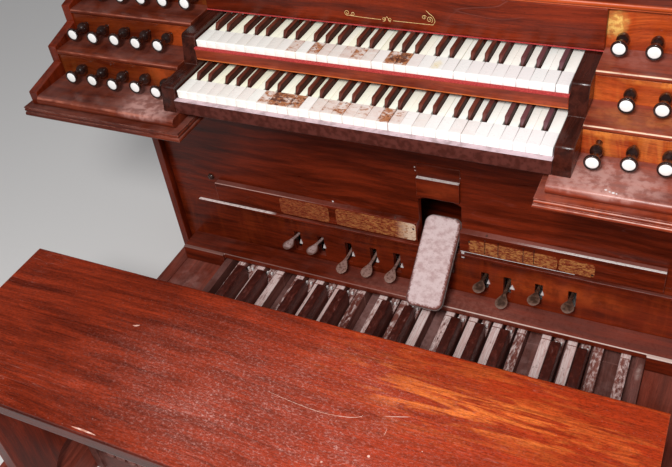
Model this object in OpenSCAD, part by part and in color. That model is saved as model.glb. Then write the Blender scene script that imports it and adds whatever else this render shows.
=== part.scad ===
// Console of a pipe organ: two keyboards between terraced stop jambs, with a
// swell shoe, combination pedals, a pedalboard and a bench.
// X runs to the player's right, Y away from the player, Z up from the floor.
// Y is 0 at the front edge of the lower keys.

/* [Case] */
// Height of the lower keys' tops above the floor
key_height = 860; // [820:1:900]
// Depth of the case behind the front edge of the lower keys
case_back = 640; // [560:1:760]
// Thickness of the side boards
side_t = 22; // [16:1:30]
// Thickness of the front, back and knee boards
board_t = 18; // [12:1:24]
// Thickness of the top board with its moulding
top_t = 14; // [12:1:34]
// Height of the moulding under the top board
top_mould = 3; // [2:1:10]
// How far the knee board stands behind the key fronts
knee_set = 318; // [300:1:350]
// How far the side boards stand before the knee board
side_lead = 21; // [5:1:40]

/* [Keyboards] */
// Width of one natural key with its gap
key_pitch = 23.5; // [22.5:0.1:23.6]
// Number of natural keys in a keyboard
key_naturals = 33; // [22:1:33]
// Gap between two keys
key_gap = 0.9; // [0.6:0.1:1.2]
// Height of a key's wood from its underside to its top
key_t = 20; // [16:1:22]
// Height of a natural's front
key_front_t = 15; // [12:1:15]
// Length of a natural's head before the sharps begin
sharp_start = 49; // [44:1:54]
// Width of a sharp
sharp_w = 10.5; // [9:0.5:12]
// Rise of a sharp over the naturals
sharp_rise = 12; // [9:1:13]
// Rise from the lower keyboard to the upper one
manual_rise = 62.5; // [58:0.5:70]
// Setback from the lower key fronts to the upper ones
manual_setback = 102; // [92:1:110]
// Playing length of a key up to the nameboard
key_reach = 110; // [105:1:150]
// How far the keys run on behind their playing length
key_tail = 50; // [10:1:70]

/* [Key cheeks and slips] */
// Thickness of the cheeks beside the keys
cheek_t = 33; // [24:1:40]
// Rise of the cheeks over the naturals
cheek_rise = 10; // [6:1:14]
// Gap between the last key and the cheek
cheek_gap = 3; // [2:0.5:6]
// Height of the slip below the upper keys' fronts
slip_h = 27; // [14:1:30]
// Thickness of the slip
slip_t = 14; // [8:1:16]
// Thickness of the boards that carry the keys
bed_t = 26; // [20:1:28]
// Thickness of the nameboard
nameboard_t = 16; // [10:1:24]

/* [Stop jambs] */
// Rise from one terrace to the next
terrace_rise = 61.5; // [58:0.5:64]
// Depth of one terrace
terrace_depth = 80; // [76:1:84]
// Height of the lowest terrace below the lower keys
terrace_drop = 46; // [44:1:60]
// Thickness of the treads
tread_t = 12; // [8:1:16]
// Thickness of the riser boards
riser_t = 16; // [12:1:20]
// How far the treads' rounded fronts stand out
nosing = 4; // [2:1:6]
// Width of the lowest tread before its riser
apron = 108; // [100:1:115]
// Distance between two stops in a row
stop_pitch = 58.5; // [52:0.5:60]
// Number of stops in a row
stops_in_row = 5; // [2:1:5]
// Distance from the cheek to the first stop
stop_margin = 30; // [24:1:32]
// Sideways shift of the middle row
stop_shift = 33; // [0:1:36]
// Distance from the last stop of the middle row to the case's side board
stop_side_margin = 33.25; // [30:0.25:50]
// How far the left stops are drawn in the photo's pose, a list for each row from the lowest
left_draws = [[6, 0, 4, 0, 0], [3, 4, 3, 6, 3], [0, 0, 0, 0, 0]]; // [0:1:30]
// How far the right stops are drawn, in the same order
right_draws = [[12, 2, 0, 0, 0], [0, 0, 0, 0, 0], [0, 0, 0, 0, 0]]; // [0:1:30]
// Height of the stops over their tread
stop_lift = 26; // [22:1:30]
// Thickness of the ledges under the jambs
ledge_t = 22; // [18:1:30]
// How far the ledges stand before the lowest treads
ledge_lead = 14; // [8:1:24]
// How far the ledges stand inside the lowest treads
ledge_side = 18; // [10:1:24]
// How far the ledges stand outside the case
ledge_over = 14; // [6:1:24]
// Height from the highest tread to the underside of the top
jamb_head = 79; // [60:1:90]

/* [Stops] */
// Diameter of a stop's head
stop_head_d = 30; // [26:1:32]
// Diameter of the ivory face
stop_face_d = 22; // [16:1:24]
// Length of a stop's head
stop_head_l = 17; // [14:0.5:18]
// Length of the waist behind the head
stop_waist_l = 10; // [7:0.5:12]
// Length of the bulb at a stop's foot
stop_bulb_l = 19.7; // [16:0.1:20]
// Length of a stop in front of its riser
stop_reach = 51; // [46:1:60]
// Diameter of the bulb at the foot of a stop
stop_bulb_d = 23; // [18:1:26]
// Diameter of the stop's rod
stop_rod_d = 11; // [8:1:12]
// Length of the rod behind the front of the riser
stop_rod_l = 110; // [90:1:130]
// Clearance round the rod
stop_clear = 0.4; // [0.3:0.05:0.6]
// Gap between the foot of a stop and its riser
stop_seat = 0.3; // [0.2:0.1:0.6]

/* [Knee board] */
// Half the length of the label rail
rail_half = 600; // [560:1:640]
// Height of the underside of the label rail
rail_z = 293; // [280:1:310]
// Height of the label rail
rail_h = 60; // [50:1:70]
// Thickness of the label rail
rail_t = 20; // [12:1:26]
// Left end and length of each label plate
label_spans = [[-394, 147], [-226, 226], [139, 218], [361, 84]]; // [-480:1:480]
// Height of each label plate
label_heights = [54, 54, 40, 40]; // [30:1:54]
// Height of each label plate's foot over the rail's underside
label_feet = [3, 3, 3, 3]; // [1:1:6]
// Thickness of a label plate
label_t = 2; // [1:0.5:3]
// Radius of a label plate's corners
label_corner = 10; // [4:1:14]
// Half the length of the thin strip below the rail
strip_half = 680; // [640:1:700]
// Height of the strip's underside
strip_z = 264; // [263:1:268]
// Height of the strip
strip_h = 7.5; // [5:0.5:9]
// How far the strip stands out from the toe board
strip_t = 10; // [6:1:12]
// Centre of the swell opening
swell_x = 58; // [40:1:80]
// Width of the swell opening
swell_open_w = 112; // [108:1:130]
// Height of the foot of the swell opening
swell_open_z = 262; // [255:1:270]
// Height of the springing of the opening's arch
swell_arch_z = 418; // [400:1:440]
// Rise of the opening's arch
swell_arch_rise = 14; // [6:1:20]
// Width of the hatch board over the opening
hatch_w = 109; // [80:1:120]
// Thickness of the hatch board
hatch_t = 12; // [8:1:18]
// Height of the hatch board's upper edge
hatch_z = 493; // [490:1:520]
// Height of the hatch board
hatch_h = 57; // [40:1:57]
// Height of the hatch's flange
hatch_flange_h = 37; // [20:1:60]
// Thickness of the hatch's flange
hatch_flange_t = 3; // [2:1:6]

/* [Toe board] */
// Depth of the toe ledge
toe_depth = 68; // [50:1:72]
// Thickness of the toe ledge
toe_t = 18; // [14:1:22]
// Gap between the pedal keys and the toe ledge
toe_gap = 2; // [1.2:0.1:4]

/* [Combination pedals] */
// Places of the combination pedals from the middle of the keyboards
lever_x = [-372, -298, -213.5, -138.5, -70, 174, 232.5, 313, 396]; // [-440:0.5:440]
// How far each pedal is pressed down in the photo's pose, in degrees
lever_drops = [0, 0, 16, 13, 13, 0, 13, 0, 0]; // [0:1:16]
// Slope of a raised pedal's arm, in degrees
lever_slope = 4.3; // [3:0.1:5]
// Height of the pedals' pivot
lever_z = 190; // [180:1:200]
// Distance of the pivot behind the knee board's face
lever_pivot_set = 102; // [90:1:130]
// Distance of a paddle's centre before the knee board's face
lever_reach = 55; // [50:1:64]
// Radius of a paddle's round head
paddle_r = 16; // [12:1:19]
// Thickness of a paddle
paddle_t = 7; // [5:1:9]
// Width of a pedal's arm
lever_w = 9; // [7:1:10]
// Height of a pedal's arm
lever_h = 13; // [10:1:14]
// How far the pivot rod's brackets stand outside the outer pedals
lever_rail_over = 30; // [24:1:40]
// Width of the slots in the toe board
slot_w = 20; // [19:1:24]
// How far a slot reaches below the pivot's height
slot_drop = 44; // [42:1:50]
// How far a slot reaches above the pivot's height
slot_rise = 24; // [20:1:28]
// Diameter of the pivot rod
pivot_d = 8; // [6:1:10]
// Clearance round the pivot rod
pivot_clear = 0.3; // [0.2:0.05:0.4]

/* [Swell shoe] */
// Width of the shoe's tread
shoe_w = 94; // [84:1:96]
// Length of the shoe's tread
shoe_l = 237; // [210:1:245]
// How far the tread's middle lies above the pivot, along the slope
shoe_shift = 6; // [0:1:10]
// Radius of the tread's corners
shoe_corner = 20; // [12:1:30]
// Thickness of the tread
shoe_tread_t = 9; // [6:1:12]
// Thickness of the iron plate below the tread
shoe_plate_t = 7; // [5:1:9]
// Width of the plate's rim round the tread
shoe_rim = 2; // [1:0.5:4]
// Slope of the shoe at rest
shoe_slope = 38.5; // [34:0.5:42]
// Distance of the pivot before the knee board's face
shoe_pivot_lead = 41; // [36:1:48]
// Height of the pivot
shoe_pivot_z = 241; // [236:1:246]
// Distance from the pivot to the tread's upper face
shoe_pivot_drop = 40; // [36:1:44]
// Width of the lug that holds the shoe on its pivot
shoe_lug_w = 34; // [28:1:36]
// Diameter of the pivot pin
shoe_pin_d = 10; // [8:1:12]
// Clearance round the pivot pin
shoe_clear = 0.3; // [0.2:0.05:0.4]
// Width of each ear of the bracket
shoe_ear_w = 10; // [8:1:12]
// Height of the foot of the bracket's plate
bracket_z = 196; // [190:1:205]

/* [Pedalboard] */
// Height of the natural pedals' tops above the floor
pedal_height = 110; // [104:1:124]
// Distance between two natural pedals
pedal_pitch = 63.5; // [60:0.1:63.8]
// Number of natural pedals
pedal_naturals_n = 18; // [14:1:18]
// Sideways shift of the pedals from the middle of the keyboards
pedal_shift = 6; // [0:1:9]
// Width of a pedal key
pedal_w = 24; // [20:1:26]
// Height of a pedal key's wood
pedal_t = 48; // [40:1:54]
// Rise of a sharp pedal over the naturals
pedal_sharp_rise = 42; // [30:1:46]
// How far a sharp pedal's tail lies below the naturals
pedal_tail_drop = 12; // [8:1:16]
// Length of a sharp pedal's raised block
pedal_sharp_l = 146; // [120:1:150]
// Distance of the sharp blocks' fronts behind the key fronts
pedal_sharp_y = 60; // [50:1:70]
// Reach of the pedals towards the player
pedal_reach = 420; // [380:1:450]
// Gap between the outer pedals and the frame's sides
pedal_side_gap = 12.25; // [8:0.25:20]
// Height of the side blocks
block_h = 81; // [70:1:90]
// How far the side blocks stand inside the case's sides
block_inset = 6; // [0:1:20]
// Width of the outer rail of a side block
side_rail_w = 40; // [30:1:50]
// Thickness of the pedal frame's sides
frame_side_t = 22; // [16:1:24]
// Width of the pedal frame's cross rails
frame_rail_w = 40; // [30:1:50]
// Thickness of the dust board under the pedal keys
dust_board_t = 12; // [8:1:16]
// Gap between the dust board and the pedal keys
dust_board_gap = 2; // [1:0.5:6]
// Height of the heel cover over the pedals' ends
heel_cover_h = 16; // [10:1:24]

/* [Bench] */
// Height of the seat above the floor
bench_h = 580; // [560:1:620]
// Gap between the pedalboard and the bench's ends
bench_inset = 11; // [5:1:30]
// Depth of the seat
bench_depth = 375; // [320:1:400]
// Thickness of the seat
bench_t = 34; // [26:1:40]
// Thickness of the bench's ends
bench_end_t = 34; // [26:1:40]
// How far the seat stands out past its ends
bench_over = 18; // [10:1:24]
// Height of the stretcher between the ends
stretcher_h = 110; // [80:1:140]
// Height of the stretcher's underside above the floor
stretcher_z = 300; // [260:1:340]
// How far the bench's ends stand inside the seat's edges
end_set = 24; // [16:1:30]
// Depth of the curve in an end's edges
end_waist = 22; // [14:1:26]
// Height of an end's foot
end_foot = 60; // [40:1:70]
// Height of an end's head
end_head = 30; // [20:1:36]
// Height of the slopes between an end's waist and its foot and head
end_slope = 30; // [20:1:36]
// Radius of the arch in an end's foot
end_arch_r = 70; // [50:1:74]

/* [Hidden] */
key_half = key_naturals * key_pitch / 2;
cheek_in = key_half + cheek_gap;
cheek_out = cheek_in + cheek_t;
upper_z = key_height + manual_rise;
tread_z = key_height - terrace_drop;
ledge_z = tread_z - 2 * tread_t;
ledge_foot = ledge_z - ledge_t;
riser_y = 66;
tread_front = riser_y - apron;
name_y = manual_setback + key_reach;
key_l = key_reach + key_tail;
top_z = tread_z + 2 * terrace_rise + jamb_head;
knee_y = knee_set;
side_y = knee_set - side_lead;
side_in = cheek_out + stop_margin + (stops_in_row - 1) * stop_pitch + stop_shift + stop_side_margin;
case_half = side_in + side_t;
block_half = pedal_shift + (pedal_naturals_n - 1) / 2 * pedal_pitch + pedal_w / 2 + pedal_side_gap
    + frame_side_t;
side_seam = case_half - block_inset - side_rail_w;
bench_half = block_half + bench_inset + bench_end_t + bench_over;
toe_z = pedal_height + toe_gap;
pivot_y = knee_y + lever_pivot_set;
stop_names = ["low", "middle", "high"];
seen_right = [3, 2, 2];
arc_fn = 48;
pedal_sharp_z = pedal_height + pedal_sharp_rise;
pedal_foot = pedal_height - pedal_t;
frame_back = toe_depth;
frame_front = -pedal_reach;
frame_end = knee_y - side_lead - 1;
bench_back = -265;
bench_front = bench_back - bench_depth;
end_in = bench_half - bench_over - bench_end_t;

STATIC = ["case_sides", "case_back", "case_top", "nameboard", "jamb_risers", "jamb_treads",
    "jamb_ledges", "key_cheeks", "key_beds", "key_slips", "manual_naturals", "manual_sharps",
    "knee_board", "hatch", "label_rail", "label_plates", "toe_board", "toe_ledge", "lever_rail",
    "swell_bracket", "side_blocks", "pedal_frame", "pedal_naturals", "pedal_sharps",
    "bench_seat", "bench_frame", "stops_past_view"];
STOPS = [for (side = [0, 1]) for (row = [0:2]) for (i = [0:stops_in_row - 1])
    if (side == 0 || i < seen_right[row]) stop_name(side, row, i)];
LEVERS = [for (i = [0:len(lever_x) - 1]) str("combination_pedal_", i + 1)];

function stop_name(side, row, i) =
    str("stop_", side == 0 ? "left_" : "right_", stop_names[row], "_", i + 1);
function stop_x(row, i) = cheek_out + stop_margin + (row == 1 ? stop_shift : 0) + i * stop_pitch;
function row_y(row) = riser_y + row * terrace_depth;
function row_z(row) = tread_z + row * terrace_rise;
function has_sharp(i, n) = i >= 0 && i < n - 1 && len(search(i % 7, [0, 1, 3, 4, 5])) > 0;
function sharp_place(k) = k < 3 ? (1.5 + 2 * k) * 3 / 5 : 3 + (1.5 + 2 * (k - 3)) * 4 / 7;
function sharp_x(i) = -key_half + (7 * floor(i / 7) + sharp_place(i % 7)) * key_pitch;
function pedal_x(i) = pedal_shift + (i - (pedal_naturals_n - 1) / 2) * pedal_pitch;

module on_both_sides() {
    children();
    mirror([1, 0, 0]) children();
}

// A prism from x0 to x1 over an outline of [y, z] points or shapes
module across(x0, x1) {
    translate([x0, 0, 0]) rotate([90, 0, 90]) linear_extrude(x1 - x0) children();
}

module box(low, high) {
    translate(low) cube(high - low);
}

// Stepped outline that the case sides follow above the ledges
module side_outline() {
    polygon([[side_y, 0], [case_back, 0], [case_back, top_z], [row_y(2) - nosing, top_z],
        [row_y(2) - nosing, row_z(2) + stop_head_d], [row_y(1) - nosing, row_z(2) + 8],
        [row_y(1) - nosing, row_z(1) + stop_head_d], [row_y(0) - nosing, row_z(1) + 8],
        [row_y(0) - nosing, row_z(0) + stop_head_d], [tread_front + 6, row_z(0) + 8],
        [tread_front + 6, ledge_z], [side_y, ledge_z]]);
}

module case_sides() {
    color("#5a1d10") on_both_sides() across(side_in, case_half) side_outline();
}

module case_back() {
    color("#4b180e") box([-side_in, case_back - board_t, 0], [side_in, case_back, top_z]);
}

// Top board over a moulding of a bead and a fillet
module case_top() {
    front = row_y(2) - nosing - 11;
    edge = (top_t - top_mould) / 2;
    color("#8a3a1c") across(-case_half, case_half) {
        translate([front + edge, top_z + top_mould]) square([case_back - front - edge, 2 * edge]);
        translate([front + edge, top_z + top_mould + edge]) circle(edge, $fn = arc_fn);
        translate([front + edge, top_z]) square([case_back - front - edge, top_mould]);
        translate([front + edge, top_z + top_mould / 2]) circle(top_mould / 2, $fn = arc_fn);
    }
}

module nameboard() {
    foot = upper_z + sharp_rise + 2;
    color("#3a140c") box([-cheek_out, name_y + 2, foot], [cheek_out, name_y + 2 + nameboard_t, top_z]);
}

module jamb_risers() {
    color("#b5531f") on_both_sides() for (row = [0:2]) {
        foot = row_z(row);
        head = row == 2 ? top_z : row_z(row + 1) - tread_t;
        difference() {
            box([cheek_out, row_y(row), foot], [side_in, row_y(row) + riser_t, head]);
            for (i = [0:stops_in_row - 1])
                translate([stop_x(row, i), row_y(row) - 1, foot + stop_lift]) rotate([-90, 0, 0])
                    cylinder(r = stop_rod_d / 2 + stop_clear, h = riser_t + 2, $fn = arc_fn);
        }
    }
}

module jamb_treads() {
    color("#6e3020") on_both_sides() for (row = [0:2]) {
        low = row == 0;
        inner = low ? cheek_in - 4 : cheek_out;
        thick = low ? 2 * tread_t : tread_t;
        front = low ? tread_front : row_y(row - 1) - nosing;
        back = row_y(row) + (row == 2 ? riser_t : terrace_depth / 2);
        across(inner, side_in) {
            translate([front + thick / 2, row_z(row) - thick]) square([back - front - thick / 2, thick]);
            translate([front + thick / 2, row_z(row) - thick / 2]) circle(thick / 2, $fn = arc_fn);
        }
    }
}

// Section of a ledge's moulded edge: a fillet over two beads, from the edge at 0 inwards
module ledge_edge(length) {
    bead = ledge_t / 5;
    translate([bead, 0]) square([length - bead, ledge_t]);
    translate([bead, bead]) circle(bead, $fn = arc_fn);
    translate([bead + 1, 3 * bead + 1]) circle(bead * 0.8, $fn = arc_fn);
    translate([bead / 2, ledge_t - bead / 2]) square([length - bead, bead / 2]);
}

module jamb_ledges() {
    front = tread_front - ledge_lead;
    inner = cheek_in - 4 - ledge_side;
    outer = case_half + ledge_over;
    color("#8c3c1e") on_both_sides() difference() {
        intersection() {
            across(inner, outer) translate([front, ledge_foot]) ledge_edge(knee_y + board_t - front);
            translate([inner, knee_y + board_t, ledge_foot]) rotate([90, 0, 0])
                linear_extrude(knee_y + board_t - front) ledge_edge(outer - inner);
        }
        box([side_in, side_y, ledge_foot - 1], [outer + 1, knee_y + board_t + 1, ledge_z + 1]);
    }
}

// Outline of a cheek: two steps with rounded noses beside the two keyboards
module cheek_outline() {
    back = name_y + 2 + nameboard_t;
    nose = 9;
    lower_top = key_height + cheek_rise;
    upper_top = upper_z + cheek_rise;
    polygon([[-14, tread_z], [back, tread_z], [back, upper_top], [manual_setback + nose, upper_top],
        [manual_setback, upper_top - nose], [manual_setback - 12, lower_top], [nose - 4, lower_top],
        [-4, lower_top - nose]]);
    translate([manual_setback + nose, upper_top - nose]) circle(nose, $fn = arc_fn);
    translate([nose - 4, lower_top - nose]) circle(nose, $fn = arc_fn);
}

module key_cheeks() {
    color("#2c1410") on_both_sides() difference() {
        across(cheek_in, cheek_out) cheek_outline();
        box([cheek_in - 1, name_y + 2, upper_z + sharp_rise + 2],
            [cheek_out + 1, name_y + 4 + nameboard_t, top_z]);
    }
}

module key_beds() {
    bed_top = key_height - key_t;
    upper_top = upper_z - key_t;
    color("#7a4a2a") {
        box([-cheek_in, 0, bed_top - bed_t], [cheek_in, knee_y + board_t, bed_top]);
        box([-cheek_in, manual_setback, upper_top - 16], [cheek_in, manual_setback + key_l, upper_top]);
    }
}

module key_slips() {
    color("#8a4020") {
        box([-cheek_in, -slip_t, tread_z], [cheek_in, 0, key_height - key_front_t - 1]);
        box([-cheek_in, manual_setback - 8, upper_z - key_front_t - slip_h],
            [cheek_in, manual_setback, upper_z - key_front_t]);
    }
}

module natural_key(i) {
    x0 = -key_half + i * key_pitch;
    notch = sharp_w / 2 + key_gap;
    difference() {
        box([x0 + key_gap / 2, 0, -key_t], [x0 + key_pitch - key_gap / 2, key_l, 0]);
        for (s = [i - 1, i])
            if (has_sharp(s, key_naturals))
                box([sharp_x(s) - notch, sharp_start, -key_t - 1], [sharp_x(s) + notch, key_l + 1, 1]);
    }
}

module manual_naturals() {
    color("#efe6d2") for (at = [[0, key_height], [manual_setback, upper_z]])
        translate([0, at[0], at[1]]) for (i = [0:key_naturals - 1]) natural_key(i);
}

module sharp_key(i) {
    slope = 5;
    across(sharp_x(i) - sharp_w / 2, sharp_x(i) + sharp_w / 2)
        polygon([[sharp_start + key_gap, -key_t], [key_l, -key_t], [key_l, 0], [key_reach, 0],
            [key_reach, sharp_rise], [sharp_start + key_gap + slope, sharp_rise],
            [sharp_start + key_gap, 0]]);
}

module manual_sharps() {
    color("#20120e") for (at = [[0, key_height], [manual_setback, upper_z]])
        translate([0, at[0], at[1]]) for (i = [0:key_naturals - 2])
            if (has_sharp(i, key_naturals)) sharp_key(i);
}

// Outline of the swell opening in [x, z], with an arched head
module swell_opening() {
    half = swell_open_w / 2;
    radius = (half * half + swell_arch_rise * swell_arch_rise) / (2 * swell_arch_rise);
    translate([swell_x - half, swell_open_z]) square([swell_open_w, swell_arch_z - swell_open_z]);
    intersection() {
        translate([swell_x, swell_arch_z + swell_arch_rise - radius]) circle(radius, $fn = arc_fn);
        translate([swell_x - half, swell_arch_z - 1]) square([swell_open_w, swell_arch_rise + 2]);
    }
}

// A board facing the player over an outline of [x, z], from y0 to y1
module facing(y0, y1) {
    translate([0, y1, 0]) rotate([90, 0, 0]) linear_extrude(y1 - y0) children();
}

module knee_board() {
    middle = cheek_in - 4 - ledge_side;
    color("#6a1f12") facing(knee_y, knee_y + board_t) difference() {
        union() {
            translate([-side_in, rail_z]) square([2 * side_in, ledge_foot - rail_z]);
            translate([-middle, ledge_foot]) square([2 * middle, key_height - key_t - bed_t - ledge_foot]);
        }
        swell_opening();
    }
}

// Board over the swell opening, with a thin flange above it
module hatch() {
    color("#6a1f12") {
        facing(knee_y - hatch_t, knee_y) translate([swell_x - hatch_w / 2, hatch_z - hatch_h])
            square([hatch_w, hatch_h]);
        facing(knee_y - hatch_flange_t, knee_y) translate([swell_x - hatch_w / 2, hatch_z])
            square([hatch_w, hatch_flange_h]);
    }
}

// The rail that carries the labels, and the thin strip on the toe board below it
module label_rail() {
    color("#6a1f12") {
        facing(knee_y - rail_t, knee_y) difference() {
            translate([-rail_half, rail_z]) square([2 * rail_half, rail_h]);
            swell_opening();
        }
        facing(knee_y - strip_t, knee_y) difference() {
            translate([-strip_half, strip_z]) square([2 * strip_half, strip_h]);
            swell_opening();
        }
    }
}

module label_plates() {
    color("#b98a35") for (i = [0:len(label_spans) - 1])
        facing(knee_y - rail_t - label_t, knee_y - rail_t)
            translate([label_spans[i][0], rail_z + label_feet[i]])
                rounded(label_spans[i][1], label_heights[i], label_corner);
}

// A rectangle with round corners, from its low corner
module rounded(w, h, r) {
    translate([r, 0]) square([w - 2 * r, h]);
    translate([0, r]) square([w, h - 2 * r]);
    for (x = [r, w - r]) for (y = [r, h - r]) translate([x, y]) circle(r, $fn = arc_fn);
}

module toe_board() {
    color("#7c2c17") facing(knee_y, knee_y + board_t) difference() {
        translate([-side_in, 0]) square([2 * side_in, rail_z]);
        translate([-block_half, -1]) square([2 * block_half, toe_z + 1]);
        swell_opening();
        for (x = lever_x) translate([x - slot_w / 2, lever_z - slot_drop])
            square([slot_w, slot_drop + slot_rise]);
    }
}

// The ledge over the pedals' far ends, on a plinth block at each end
module toe_ledge() {
    front = knee_y - toe_depth;
    color("#7a4432") {
        box([-block_half, front, toe_z], [block_half, knee_y, toe_z + toe_t]);
        on_both_sides() box([block_half, front - 8, block_h], [side_seam, knee_y, toe_z + toe_t]);
    }
}

module lever_rail() {
    ends = [lever_x[0] - lever_rail_over, swell_x, lever_x[len(lever_x) - 1] + lever_rail_over];
    color("#55504a") {
        translate([ends[0], pivot_y, lever_z]) rotate([0, 90, 0])
            cylinder(d = pivot_d, h = ends[2] - ends[0], $fn = arc_fn);
        for (x = ends)
            box([x - 8, knee_y + board_t, lever_z - 12], [x + 8, pivot_y + 12, lever_z + 12]);
    }
}

// One combination pedal: an eye on the pivot rod, an arm, a neck and a pear-shaped paddle
module combination_pedal(x, drop) {
    neck = lever_pivot_set + 22;
    head = lever_pivot_set + lever_reach;
    top = lever_h / 2 + 4;
    color("#2a2320") translate([x, pivot_y, lever_z]) rotate([drop - lever_slope, 0, 0]) {
        difference() {
            union() {
                translate([-lever_w / 2, 0, 0]) rotate([0, 90, 0])
                    cylinder(r = lever_h / 2 + 5, h = lever_w, $fn = arc_fn);
                across(-lever_w / 2, lever_w / 2)
                    polygon([[-neck, -lever_h / 2], [0, -lever_h / 2], [0, lever_h / 2],
                        [-lever_pivot_set, lever_h / 2], [-neck, top]]);
            }
            translate([-lever_w, 0, 0]) rotate([0, 90, 0])
                cylinder(r = pivot_d / 2 + pivot_clear, h = 2 * lever_w, $fn = arc_fn);
        }
        translate([0, 0, top - paddle_t]) linear_extrude(paddle_t) {
            translate([0, -head]) circle(paddle_r, $fn = arc_fn);
            polygon([[-lever_w / 2, 10 - neck], [-lever_w / 2 - 1, -4 - neck],
                [-paddle_r * 0.66, paddle_r * 1.1 - head], [-paddle_r * 0.93, paddle_r * 0.36 - head],
                [paddle_r * 0.93, paddle_r * 0.36 - head], [paddle_r * 0.66, paddle_r * 1.1 - head],
                [lever_w / 2 + 1, -4 - neck], [lever_w / 2, 10 - neck]]);
        }
    }
}

// Places a part of the shoe: the origin goes to the pivot and Y along the slope
module on_shoe() {
    translate([swell_x, knee_y - shoe_pivot_lead, shoe_pivot_z]) rotate([shoe_slope, 0, 0]) children();
}

module swell_tread() {
    color("#cdbcb6") on_shoe()
        translate([-shoe_w / 2, shoe_shift - shoe_l / 2, shoe_pivot_drop - shoe_tread_t])
            linear_extrude(shoe_tread_t) rounded(shoe_w, shoe_l, shoe_corner);
}

module swell_shoe() {
    plate_top = shoe_pivot_drop - shoe_tread_t;
    plate_foot = plate_top - shoe_plate_t;
    pin_l = shoe_lug_w + 2 * shoe_ear_w + 4;
    color("#2a2320") on_shoe() {
        translate([-shoe_w / 2 - shoe_rim, shoe_shift - shoe_l / 2 - shoe_rim, plate_foot])
            linear_extrude(shoe_plate_t)
                rounded(shoe_w + 2 * shoe_rim, shoe_l + 2 * shoe_rim, shoe_corner + shoe_rim);
        translate([-shoe_lug_w / 2, 0, 0]) rotate([0, 90, 0])
            cylinder(r = 13, h = shoe_lug_w, $fn = arc_fn);
        box([-shoe_lug_w / 2, -13, 0], [shoe_lug_w / 2, 13, plate_foot]);
        translate([-pin_l / 2, 0, 0]) rotate([0, 90, 0]) cylinder(d = shoe_pin_d, h = pin_l, $fn = arc_fn);
    }
}

module swell_bracket() {
    y = knee_y - shoe_pivot_lead;
    ear = shoe_lug_w / 2 + 1;
    ear_r = 12;
    bore = shoe_pin_d / 2 + shoe_clear;
    color("#3a3430") {
        box([swell_x - ear - shoe_ear_w - 6, knee_y - 6, bracket_z],
            [swell_x + ear + shoe_ear_w + 6, knee_y, swell_open_z]);
        for (x = [swell_x - ear - shoe_ear_w, swell_x + ear]) difference() {
            union() {
                box([x, y, shoe_pivot_z - ear_r], [x + shoe_ear_w, knee_y - 6, shoe_pivot_z + ear_r]);
                translate([x, y, shoe_pivot_z]) rotate([0, 90, 0])
                    cylinder(r = ear_r, h = shoe_ear_w, $fn = arc_fn);
            }
            translate([x - 1, y, shoe_pivot_z]) rotate([0, 90, 0])
                cylinder(r = bore, h = shoe_ear_w + 2, $fn = arc_fn);
        }
    }
}

// Beside the pedals on each side: a step board and an outer rail, with a seam between them
module side_blocks() {
    color("#7d5c50") on_both_sides() {
        box([block_half, bench_front, 0], [side_seam - 0.5, knee_y, block_h]);
        box([side_seam + 0.5, bench_front, 0], [case_half - block_inset, side_y, block_h]);
    }
}

module pedal_frame() {
    inner = block_half - frame_side_t;
    color("#6b4434") {
        on_both_sides() box([inner, frame_front - 6, 0], [block_half - 0.5, frame_end, pedal_height - 4]);
        box([-inner, frame_front, 0], [inner, frame_front + frame_rail_w, pedal_foot]);
        box([-inner, frame_end - frame_rail_w, 0], [inner, frame_end, pedal_foot]);
        box([-inner, frame_front + frame_rail_w - 1, pedal_foot - dust_board_gap - dust_board_t],
            [inner, frame_end - frame_rail_w + 1, pedal_foot - dust_board_gap]);
        box([-inner, frame_front - 6, pedal_height + 0.5],
            [inner, frame_front + frame_rail_w + 40, pedal_height + 0.5 + heel_cover_h]);
        on_both_sides() box([inner - 1, frame_front - 6, pedal_height - 5],
            [block_half - 0.5, frame_front + frame_rail_w + 40, pedal_height + 0.5 + heel_cover_h]);
    }
}

module pedal_naturals() {
    color("#c9b49c") for (i = [0:pedal_naturals_n - 1])
        box([pedal_x(i) - pedal_w / 2, frame_front, pedal_foot],
            [pedal_x(i) + pedal_w / 2, frame_end - 2, pedal_height]);
}

module pedal_sharps() {
    rear = pedal_sharp_y + pedal_sharp_l;
    tail_z = pedal_height - pedal_tail_drop;
    color("#2a1a14") for (i = [0:pedal_naturals_n - 2])
        if (has_sharp(i, pedal_naturals_n)) {
            x = pedal_x(i) + pedal_pitch / 2;
            across(x - pedal_w / 2, x + pedal_w / 2)
                polygon([[frame_front, pedal_foot], [frame_end - 2, pedal_foot], [frame_end - 2, tail_z],
                    [rear, tail_z], [rear, pedal_sharp_z], [pedal_sharp_y + 14, pedal_sharp_z - 2],
                    [pedal_sharp_y, tail_z], [frame_front, tail_z]]);
        }
}

module bench_seat() {
    color("#7a2c14") {
        across(-bench_half, bench_half) {
            translate([bench_front + 6, bench_h - bench_t]) square([bench_depth - 12, bench_t]);
            translate([bench_front, bench_h - bench_t + 6]) square([bench_depth, bench_t - 12]);
            for (y = [bench_front + 6, bench_back - 6]) for (z = [bench_h - bench_t + 6, bench_h - 6])
                translate([y, z]) circle(6, $fn = arc_fn);
        }
    }
}

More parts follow.
